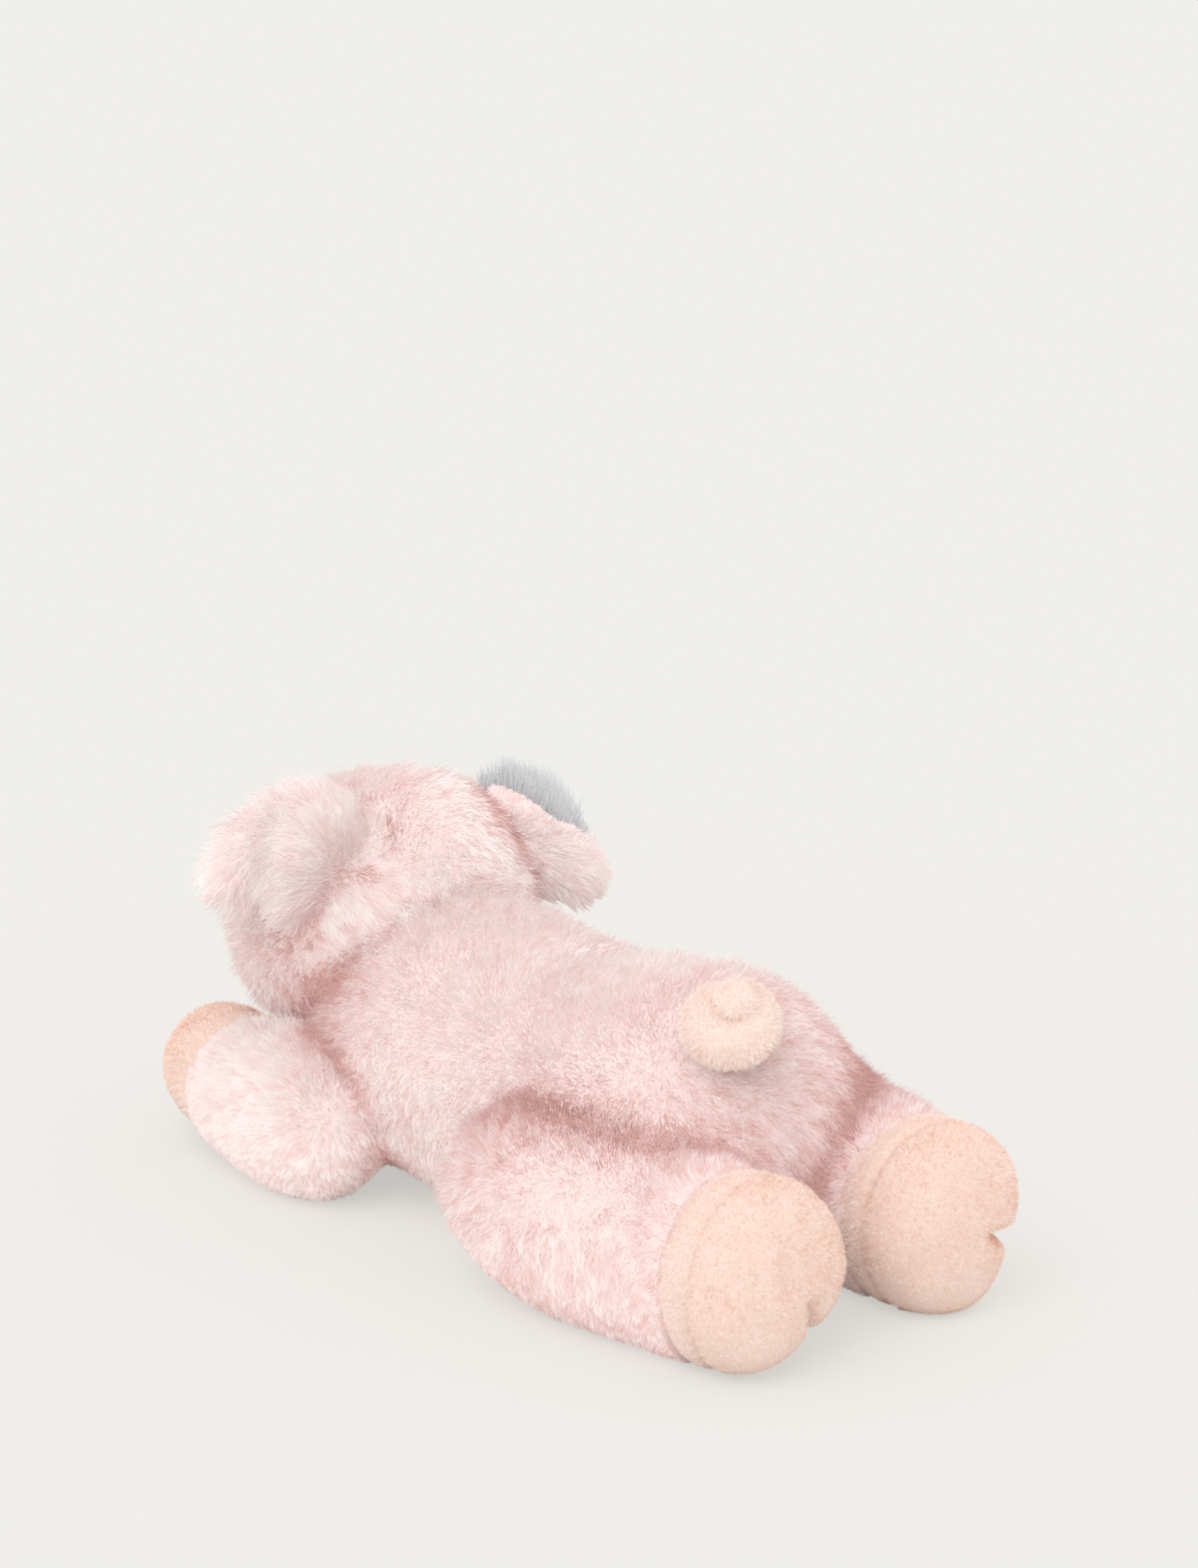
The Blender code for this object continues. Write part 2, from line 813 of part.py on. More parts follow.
# The origin stands under the middle of the whole pig. No cut reaches its outermost points.
low, high = reach_of_all()
origin.location = (-(low[0] + high[0]) / 2, -(low[1] + high[1]) / 2, 0.0)
for piece, tools in planned_cuts:
    cut(piece, tools)
low, high = reach_of_all()
print("size", [round(b - a, 4) for a, b in zip(low, high)], "lowest", round(low[2], 5))
for piece in parts.objects:
    if piece.type == "EMPTY":
        print(piece.name, [round(v, 5) for v in piece.matrix_world.translation])
        print("    its Z", [round(v, 5) for v in piece.matrix_world.col[2].xyz])
print("neck axis", [round(v, 5) for v in neck_axis])
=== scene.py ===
import json
import math

import bmesh
import bpy
import numpy as np
from mathutils import Matrix, Vector, noise
from mathutils.bvhtree import BVHTree


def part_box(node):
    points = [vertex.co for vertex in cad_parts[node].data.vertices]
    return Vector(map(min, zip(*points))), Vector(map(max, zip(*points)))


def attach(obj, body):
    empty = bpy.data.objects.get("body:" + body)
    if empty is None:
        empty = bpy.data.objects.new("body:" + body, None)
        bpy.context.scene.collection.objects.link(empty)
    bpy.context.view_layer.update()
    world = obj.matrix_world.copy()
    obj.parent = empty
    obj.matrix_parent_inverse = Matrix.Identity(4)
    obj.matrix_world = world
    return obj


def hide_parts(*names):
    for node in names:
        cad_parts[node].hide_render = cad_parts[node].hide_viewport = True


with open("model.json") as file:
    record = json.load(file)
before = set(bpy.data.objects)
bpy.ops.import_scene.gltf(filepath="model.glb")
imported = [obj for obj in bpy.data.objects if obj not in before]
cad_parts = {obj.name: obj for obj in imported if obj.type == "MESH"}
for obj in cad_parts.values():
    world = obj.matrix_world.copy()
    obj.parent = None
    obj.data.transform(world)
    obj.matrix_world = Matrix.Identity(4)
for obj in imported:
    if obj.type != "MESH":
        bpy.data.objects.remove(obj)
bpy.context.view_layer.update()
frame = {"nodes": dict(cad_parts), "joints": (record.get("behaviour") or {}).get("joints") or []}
joints = {joint["name"]: joint for joint in frame["joints"]}
print("frame loaded")

# Colours, as linear values
colours = {
    # The root colours are deeper than the tip colours: painted shade down in the pile
    "pinkTip": (1.000, 0.938, 0.930),
    "pinkMid": (1.000, 0.900, 0.888),
    "pinkRoot": (0.985, 0.760, 0.735),
    "greyTip": (0.760, 0.765, 0.780),
    "greyRoot": (0.480, 0.485, 0.505),
    "creamTip": (0.985, 0.870, 0.805),
    "creamMid": (0.960, 0.790, 0.710),
    "creamRoot": (0.930, 0.690, 0.600),
    "tailTip": (1.000, 0.930, 0.890),
    "paper": (0.871, 0.863, 0.831),
}

forms = {
    "torso": {
        "length": 0.213, "width": 0.110, "height": 0.097, "front": 0.101,
        "rings": [
            (0.045, 0.60, 0.62, 0.170), (0.200, 0.85, 1.00, 0.065), (0.400, 0.86, 0.97, 0.010),
            (0.600, 0.92, 0.94, 0.000), (0.790, 1.02, 1.05, 0.015), (0.945, 0.80, 0.80, 0.120),
        ],
    },
    "head": {
        "length": 0.109, "width": 0.101, "height": 0.088, "back": 0.047, "roll": -8.0, "nod": 4.0,
        "rings": [
            (0.070, 0.62, 0.64, 0.010), (0.260, 0.96, 0.97, 0.020), (0.470, 1.00, 1.00, -0.010),
            (0.680, 0.82, 0.82, -0.070), (0.830, 0.46, 0.47, -0.140), (0.965, 0.38, 0.38, -0.165),
        ],
    },
    "hind": {
        "length": 0.147, "width": 0.061, "height": 0.064, "spread": {"left": 0.0525, "right": 0.0475},
        "start": 0.015, "splay": -5.0, "cuff": 0.735,
        "rings": [
            (0.080, 0.66, 0.70, 0.180), (0.310, 1.08, 1.05, 0.010), (0.660, 0.80, 0.86, 0.020),
            (0.830, 1.00, 1.02, 0.000), (0.955, 0.84, 0.86, 0.070),
        ],
    },
    "front": {
        "length": 0.121, "width": 0.053, "height": 0.054, "spread": {"left": 0.0535, "right": 0.0535},
        "start": 0.040, "splay": -11.0, "cuff": 0.685,
        "rings": [
            (0.080, 0.66, 0.72, 0.200), (0.310, 1.00, 1.03, 0.030), (0.690, 0.80, 0.81, 0.090),
            (0.830, 0.84, 0.85, 0.130), (0.955, 0.68, 0.70, 0.200),
        ],
    },
}
cloth = {
    "fuller": 0.0003, "lumps": 0.0009, "lumpSize": 0.024, "sides": 8, "levels": 3, "floorRoom": 0.0003,
    "cleft": 0.64, "cleftTurn": {"left_hind": 23.0, "right_hind": 70.0, "left_front": 0.0, "right_front": 0.0},
}


def linkPiece(name, mesh):
    piece = bpy.data.objects.new(name, mesh)
    bpy.context.scene.collection.objects.link(piece)
    return piece


def relist(bm, mesh):
    # The operators list their vertices in another order each run, so they are put in order of place
    places = sorted(bm.verts, key=lambda vert: tuple(round(value, 7) for value in vert.co))
    ranks = {vert: rank for rank, vert in enumerate(places)}
    faces = []
    for face in bm.faces:
        corners = [ranks[vert] for vert in face.verts]
        first = corners.index(min(corners))
        faces.append(corners[first:] + corners[:first])
    mesh.clear_geometry()
    mesh.from_pydata([vert.co[:] for vert in places], [], sorted(faces))
    bm.free()
    mesh.shade_smooth()
    return mesh


def meshFrom(bm, name):
    return relist(bm, bpy.data.meshes.new(name))


def positions(mesh):
    flat = np.empty(len(mesh.vertices) * 3, np.float32)
    mesh.vertices.foreach_get("co", flat)
    return flat.reshape(-1, 3).astype(float)


def normalsOf(mesh):
    flat = np.empty(len(mesh.vertices) * 3, np.float32)
    mesh.vertex_normals.foreach_get("vector", flat)
    return flat.reshape(-1, 3).astype(float)


def setPositions(mesh, points):
    mesh.vertices.foreach_set("co", points.astype(np.float32).ravel())
    mesh.update()


def applyModifiers(piece):
    bpy.context.view_layer.update()
    graph = bpy.context.evaluated_depsgraph_get()
    mesh = bpy.data.meshes.new_from_object(piece.evaluated_get(graph))
    piece.modifiers.clear()
    piece.data = mesh
    return piece


def subdivided(piece, levels):
    step = piece.modifiers.new("rounding", "SUBSURF")
    step.levels = levels
    step.render_levels = levels
    return applyModifiers(piece)


def ringForm(name, form, levels, cleftAngle=None):
    # A closed form along +Y whose rings swell and taper
    rings = form["rings"]
    sides = cloth["sides"]
    standing = "roll" not in form
    swell = 1 / (2 / 3 + math.cos(math.tau / sides) / 3)
    count = len(rings) + 1
    turn = cleftAngle or 0.0
    bm = bmesh.new()
    bmesh.ops.create_uvsphere(bm, u_segments=sides, v_segments=count, radius=1.0)

    def centre(ring):
        return ((ring[2] / 2 if standing else 0.0) + ring[3]) * form["height"]

    for vert in bm.verts:
        x, y, z = vert.co
        step = round(math.acos(max(-1.0, min(1.0, z))) / math.pi * count)
        if step in (0, count):
            ring = rings[0 if step == 0 else -1]
            past = 0.012 * form["length"]
            vert.co = (0.0, -past if step == 0 else form["length"] + past, centre(ring))
            continue
        ring = rings[step - 1]
        around = math.atan2(y, x)
        reach = swell
        if cleftAngle is not None and abs(around) < math.pi / sides and step > count - 3:
            reach *= cloth["cleft"]
        vert.co = (
            math.cos(around + turn) * ring[1] * form["width"] / 2 * reach,
            ring[0] * form["length"],
            centre(ring) + math.sin(around + turn) * ring[2] * form["height"] / 2 * reach,
        )
    return subdivided(linkPiece(name, meshFrom(bm, name)), levels)


def soften(piece, seed):
    # The stuffing's soft lumps, a little outside the cut cloth
    mesh = piece.data
    points = positions(mesh)
    normals = normalsOf(mesh)
    shift = Vector((seed * 3.1, seed * 1.7, seed * 2.3))
    lumps = np.array([noise.noise(Vector(point) / cloth["lumpSize"] + shift) for point in points])
    points += normals * (cloth["fuller"] + cloth["lumps"] * (0.5 + lumps))[:, None]
    points[:, 2] = np.maximum(points[:, 2], cloth["floorRoom"])
    setPositions(mesh, points)
    return piece


def riseTo(piece, *nodes):
    # The lift that stands a form as high as its CAD solids
    top = max(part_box(node)[1].z for node in nodes)
    return Matrix.Translation((0, 0, top - positions(piece.data)[:, 2].max()))


def cutAt(piece, point, normal):
    # Keeps what lies behind a plane and closes the end
    bm = bmesh.new()
    bm.from_mesh(piece.data)
    geometry = bm.verts[:] + bm.edges[:] + bm.faces[:]
    cutParts = bmesh.ops.bisect_plane(
        bm, geom=geometry, dist=1e-6, plane_co=point, plane_no=normal, clear_outer=True
    )
    rim = [part for part in cutParts["geom_cut"] if isinstance(part, bmesh.types.BMEdge)]
    bmesh.ops.edgeloop_fill(bm, edges=rim)
    bmesh.ops.recalc_face_normals(bm, faces=bm.faces)
    relist(bm, piece.data)
    return piece


def signedDistances(points, others):
    # How far each point lies outside the nearest of the other forms, negative inside one
    nearest = np.full(len(points), 1.0)
    for other in others:
        tree = BVHTree.FromPolygons(
            [vert.co.copy() for vert in other.data.vertices], [tuple(face.vertices) for face in other.data.polygons]
        )
        for index, point in enumerate(points):
            spot, normal, _, distance = tree.find_nearest(Vector(point))
            outside = distance if (Vector(point) - spot).dot(normal) > 0 else -distance
            nearest[index] = min(nearest[index], outside)
    return nearest


# Torso
torso = forms["torso"]
middle = Vector((0.00516, -0.00021, 0.0))
torsoSkin = ringForm("torso_skin", torso, cloth["levels"])
torsoSkin.data.transform(Matrix.Translation(middle + Vector((0, -torso["front"], 0))))
torsoSkin.data.transform(riseTo(torsoSkin, "torso_cover"))
soften(torsoSkin, 1)
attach(torsoSkin, "torso")
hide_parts("torso_cover", "torso_filling")
print("torso formed")

# Head, with the snout's end as a piece of its own
head = forms["head"]
headCentre = Vector(joints["neck_turn"]["pos_m"])
headTurn = Matrix.Rotation(math.radians(head["roll"]), 4, "Y") @ Matrix.Rotation(math.radians(head["nod"]), 4, "X")
headPlace = Matrix.Translation(headCentre) @ headTurn
headToForm = Matrix.Rotation(math.pi, 4, "Z") @ Matrix.Translation((0, -head["back"], 0))
snout = {"cut": 0.850, "seam": 0.0010, "seamWidth": 0.003, "bulge": 0.0002, "dimple": 0.0008}


def headForm(name, levels):
    piece = ringForm(name, head, levels)
    piece.data.transform(headToForm)
    return piece


snoutPlane = head["back"] - snout["cut"] * head["length"]
headSkin = headForm("head_skin", cloth["levels"])
headSkin.data.transform(headPlace)
soften(headSkin, 2)
forward = headPlace.to_3x3() @ Vector((0, -1, 0))
cutAt(headSkin, headPlace @ Vector((0, snoutPlane - 0.002, 0)), forward)
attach(headSkin, "head")
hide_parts("head_cover", "head_filling")

snoutSkin = headForm("snout_skin", 4)
points = positions(snoutSkin.data)
normals = normalsOf(snoutSkin.data)
fromSeam = points[:, 1] - snoutPlane
points += normals * (snout["bulge"] - snout["seam"] * np.exp(-(fromSeam / snout["seamWidth"]) ** 2))[:, None]
setPositions(snoutSkin.data, points)
snoutSkin.data.transform(headPlace)
points = positions(snoutSkin.data)
for side in ("left", "right"):
    low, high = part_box(side + "_nostril")
    away = np.linalg.norm((points - np.array((low + high) / 2)) / np.array([0.0040, 0.0080, 0.0055]), axis=1)
    points -= np.array(forward)[None, :] * (snout["dimple"] * np.exp(-away ** 4))[:, None]
setPositions(snoutSkin.data, points)
cutAt(snoutSkin, headPlace @ Vector((0, snoutPlane + 0.001, 0)), -forward)
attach(snoutSkin, "head")
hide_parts("snout_cover")
print("head formed")

# Legs and hooves
hooves = {"padSeam": 0.32, "seamDepth": 0.0023, "seamWidth": 0.0015, "bulge": 0.0003, "pucker": 0.0005,
          "puckers": 44, "cleftDepth": 0.0062, "cleftWidth": 0.0026, "levels": 4}
legSkins = {}
hoofSkins = {}
cuffs = {}
hoofMarks = {}


def addLeg(side, kind):
    name = side + "_" + kind
    form = forms[kind]
    sign = 1 if side == "left" else -1
    ahead = kind == "front"
    toeTurn = math.radians(cloth["cleftTurn"][name])
    cleftAngle = math.atan2(-math.cos(toeTurn), math.sin(toeTurn) * (1 if ahead else -1))
    splay = math.radians(form["splay"]) * sign * (1 if ahead else -1)
    place = Matrix.Translation(middle + Vector((sign * form["spread"][side], form["start"] * (-1 if ahead else 1), 0)))
    place = place @ Matrix.Rotation((math.pi if ahead else 0.0) + splay, 4, "Z")
    cuff = form["cuff"] * form["length"]

    leg = ringForm(name + "_leg_skin", form, cloth["levels"], cleftAngle)
    place = riseTo(leg, name + "_hoof_cover", name + "_leg_cover") @ place
    leg.data.transform(place)
    soften(leg, 3 + len(legSkins))
    legSkins[name] = leg

    hoof = ringForm(name + "_hoof_skin", form, hooves["levels"], cleftAngle)
    points = positions(hoof.data)
    normals = normalsOf(hoof.data)
    padLength = form["length"] - cuff
    along = (points[:, 1] - cuff) / padLength
    padSeam = np.exp(-((along - hooves["padSeam"]) * padLength / hooves["seamWidth"]) ** 2)
    cuffSeam = np.exp(-(along * padLength / (2 * hooves["seamWidth"])) ** 2)
    centre = (form["rings"][-2][2] / 2 + form["rings"][-2][3]) * form["height"]
    out = points - np.array([0, 0, centre])
    sideways = out @ np.array([-math.sin(cleftAngle), 0.0, math.cos(cleftAngle)])
    towards = out @ np.array([math.cos(cleftAngle), 0.0, math.sin(cleftAngle)])
    cleft = np.exp(-(sideways / hooves["cleftWidth"]) ** 2) * np.clip((along - 0.35) / 0.3, 0, 1)
    cleft *= np.clip(towards / 0.012, 0, 1)
    nearSeam = np.exp(-((along - hooves["padSeam"]) * padLength / (4 * hooves["seamWidth"])) ** 2)
    puckers = hooves["pucker"] * nearSeam * np.sin(np.arctan2(out[:, 2], out[:, 0]) * hooves["puckers"])
    push = hooves["bulge"] - hooves["seamDepth"] * (padSeam + 0.8 * cuffSeam) - hooves["cleftDepth"] * cleft + puckers
    points += normals * push[:, None]
    setPositions(hoof.data, points)
    hoof.data.transform(place)
    points = positions(hoof.data)
    points[:, 2] = np.maximum(points[:, 2], cloth["floorRoom"])
    setPositions(hoof.data, points)
    heading = place.to_3x3() @ Vector((0, 1, 0))
    seamPoint = place @ Vector((0, cuff, 0))
    cuffs[name] = (heading, seamPoint)
    hoofMarks[name] = (place.inverted(), centre, cleftAngle)
    cutAt(hoof, seamPoint, -heading)
    cutAt(leg, seamPoint + heading * 0.001, heading)
    hoofSkins[name] = hoof
    for piece in (leg, hoof):
        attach(piece, name + "_leg")
    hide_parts(name + "_leg_cover", name + "_leg_filling")
    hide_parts(name + "_hoof_cover")


for side in ("left", "right"):
    for kind in ("hind", "front"):
        addLeg(side, kind)
print("legs formed")

# Ears, a pink back and a grey lining each
ears = {
    "length": 0.0410, "width": 0.0415, "rootDepth": 0.012, "thick": {1.0: 0.0066, -1.0: 0.0050},
    "rootDroop": 6.0, "tipDroop": 27.0, "cup": 0.006, "lean": 20.0, "gap": 0.0002,
    "fold": 0.0050, "foldAt": 0.1, "foldWidth": 0.30, "notch": 0.24, "lobe": 0.50, "backShare": 0.32,
    "sweep": {"left": 30.0, "right": 0.0}, "raise": {"left": 14.0, "right": 8.0},
}
earSkins = {}


def earFrame(side):
    # From the ear's own axes, with its root at the joint, to the scene
    sign = 1 if side == "left" else -1
    turn = (
        headTurn
        @ Matrix.Rotation(math.radians(-sign * ears["sweep"][side]), 4, "Z")
        @ Matrix.Rotation(math.radians(-sign * ears["raise"][side]), 4, "Y")
        @ Matrix.Rotation(math.radians(ears["lean"]), 4, "X")
    )
    return Matrix.Translation(Vector(joints[side + "_ear_swing"]["pos_m"])) @ turn


def earSkin(name, side, outward):
    sign = 1 if side == "left" else -1
    bm = bmesh.new()
    bmesh.ops.create_uvsphere(bm, u_segments=48, v_segments=24, radius=1.0)
    for vert in bm.verts:
        x, y, z = vert.co
        thick = max(y * outward, 0.0) * ears["thick"][outward]
        fold = 0.0
        if side == "left":
            # Folded from the upper rim to a notch in the lower one
            across = math.exp(-((x - ears["foldAt"]) / ears["foldWidth"]) ** 2)
            fold = -ears["fold"] * across * min(max((0.9 - z) / 0.6, 0.0), 1.0)
            z *= 1 - ears["notch"] * across * min(max(-z, 0.0), 1.0)
            z *= 1 + ears["lobe"] * max(-z, 0.0) * min(max((0.4 - x) / 0.8, 0.0), 1.0)
        elif outward > 0 and z > 0:
            # The lining reaches over the upper rim, further out from the root
            z *= 1 - (1 - ears["backShare"]) * min(max((x + 0.45) / 0.6, 0.0), 1.0)
        along = (x + 1) / 2
        droop = math.radians(ears["rootDroop"] + (ears["tipDroop"] - ears["rootDroop"]) * along)
        reach = along * (ears["length"] + ears["rootDepth"]) - ears["rootDepth"]
        vert.co = (
            sign * reach * math.cos(droop),
            outward * (ears["gap"] + thick) - ears["cup"] * z ** 2 + fold,
            z * ears["width"] / 2 - reach * math.sin(droop),
        )
    bmesh.ops.dissolve_degenerate(bm, edges=bm.edges, dist=1e-6)
    bm.normal_update()
    bmesh.ops.recalc_face_normals(bm, faces=bm.faces)
    piece = linkPiece(name, meshFrom(bm, name))
    piece.data.transform(earFrame(side))
    earSkins[name] = piece
    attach(piece, side + "_ear")
    return piece


for side in ("left", "right"):
    back = earSkin(side + "_ear_back_skin", side, 1.0)
    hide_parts(side + "_ear_back")
    lining = earSkin(side + "_ear_lining_skin", side, -1.0)
    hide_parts(side + "_ear_lining")
print("ears formed")


# The cloth is sewn through where two stuffed forms meet, so the hollow between them is shallow
creases = {"neck": 0.012, "shoulder": 0.012, "hip": 0.010}


def fillHollow(piece, others, reach):
    points = positions(piece.data)
    away = np.clip(signedDistances(points, others), 0, reach)
    return piece, normalsOf(piece.data) * ((reach - away) ** 2 / (3 * reach))[:, None]


def allFilled():
    hinds = [legSkins["left_hind"], legSkins["right_hind"]]
    fronts = [legSkins["left_front"], legSkins["right_front"]]
    moves = [fillHollow(torsoSkin, [headSkin], creases["neck"]), fillHollow(headSkin, [torsoSkin], creases["neck"])]
    moves += [fillHollow(torsoSkin, fronts, creases["shoulder"]), fillHollow(torsoSkin, hinds, creases["hip"])]
    moves += [fillHollow(leg, [torsoSkin], creases["shoulder"]) for leg in fronts]
    moves += [fillHollow(leg, [torsoSkin], creases["hip"]) for leg in hinds]
    for piece, shift in moves:
        points = positions(piece.data) + shift
        points[:, 2] = np.maximum(points[:, 2], cloth["floorRoom"])
        setPositions(piece.data, points)


allFilled()

# Tail, a narrowing coil
tail = {
    "turns": 1.3, "rootRadius": 0.0086, "tipRadius": 0.0066, "curl": 0.0105, "tipCurl": 0.20, "rise": 0.0180,
    "neck": 0.0124, "sink": 0.0040, "points": 40,
    "out": (0.26, 0.55, 0.79),
    "peak": [
        (0.7, 0.0012, 0.0062), (0.4, 0.0030, 0.0054), (0.2, 0.0052, 0.0040),
        (0.0, 0.0072, 0.0022), (0.0, 0.0084, 0.0004),
    ],
}


def tailSkin():
    out = Vector(tail["out"]).normalized()
    sideways = out.cross(Vector((0, 1, 0))).normalized()
    stance = Matrix((sideways, out.cross(sideways), out)).transposed().to_4x4()
    coil = []
    for index in range(tail["points"]):
        share = index / (tail["points"] - 1)
        angle = math.tau * tail["turns"] * share
        curl = tail["curl"] * (1 - share * (1 - tail["tipCurl"]))
        radius = tail["rootRadius"] + (tail["tipRadius"] - tail["rootRadius"]) * share
        coil.append((Vector((curl * math.cos(angle), curl * math.sin(angle), tail["rise"] * share)), radius))
    top = coil[-5][0]
    peak = [(Vector((top.x * share, top.y * share, top.z + lift)), radius) for share, lift, radius in tail["peak"]]
    coil = coil[:-4] + peak
    root = coil[0][0]
    drop = Vector((0, 0, tail["neck"]))
    path = [(root - drop, tail["rootRadius"]), (root - drop / 2, tail["rootRadius"])] + coil
    curve = bpy.data.curves.new("tail_skin", "CURVE")
    curve.dimensions = "3D"
    curve.bevel_depth = 1.0
    curve.bevel_resolution = 8
    curve.use_fill_caps = True
    spline = curve.splines.new("POLY")
    spline.points.add(len(path) - 1)
    for slot, (place, radius) in zip(spline.points, path):
        slot.co = (*(place - root + drop - Vector((0, 0, tail["sink"]))), 1.0)
        slot.radius = radius
    source = linkPiece("tail_path", curve)
    bpy.context.view_layer.update()
    mesh = bpy.data.meshes.new_from_object(source.evaluated_get(bpy.context.evaluated_depsgraph_get()))
    bpy.data.objects.remove(source)
    bm = bmesh.new()
    bm.from_mesh(mesh)
    bmesh.ops.remove_doubles(bm, verts=bm.verts, dist=1e-6)
    bmesh.ops.recalc_face_normals(bm, faces=bm.faces)
    piece = linkPiece("tail_skin", meshFrom(bm, "tail_skin"))
    piece.data.transform(Matrix.Translation(Vector(joints["tail_swing"]["pos_m"])) @ stance)
    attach(piece, "tail")
    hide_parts("tail")
    return piece


tailPiece = tailSkin()
print("tail formed")


# Pile and nap: every strand is a tapered blade that leaves its cloth and leans with the nap
def waves(points, size, seed, count=5):
    # Smooth values between -1 and 1 over space
    source = np.random.default_rng(seed)
    total = np.zeros(len(points))
    for _ in range(count):
        direction = source.normal(size=3)
        direction *= math.tau / size * source.uniform(0.6, 1.4) / np.linalg.norm(direction)
        total += np.sin(points @ direction + source.uniform(0, math.tau))
    return total / count * 1.4


def tuftCentres(points, size, seed):
    # The middle of the tuft that each root belongs to
    cell = np.floor(points / size).astype(np.int64)
    best = np.full(len(points), np.inf)
    centres = np.zeros_like(points)
    for step in np.ndindex(3, 3, 3):
        near = cell + np.array(step) - 1
        code = (near[:, 0] * 73856093) ^ (near[:, 1] * 19349663) ^ (near[:, 2] * 83492791) ^ seed
        jitter = np.stack([((code * prime) % 1009) / 1009.0 for prime in (7919, 104729, 1299709)], 1)
        spot = (near + jitter) * size
        distance = ((spot - points) ** 2).sum(1)
        closer = distance < best
        best[closer] = distance[closer]
        centres[closer] = spot[closer]
    return centres


def unit(vectors):
    return vectors / np.maximum(np.linalg.norm(vectors, axis=1), 1e-9)[:, None]


# How the pile is pressed by the floor, darkened by painted shade at the seams and creases between forms, and where the
# toy is open to the light
nap = {
    "under": 0.004, "fade": 0.002, "creaseShadeReach": 0.006, "napeHeight": 0.100, "napeFade": 0.025,
    "flankHalf": 0.010, "flankFade": 0.045, "openShare": 0.3, "besideReach": 0.007, "besideShadeTint": 1.8,
    "pressedBelow": 0.028, "pressedShare": 0.3, "tintNoise": 0.06,
}


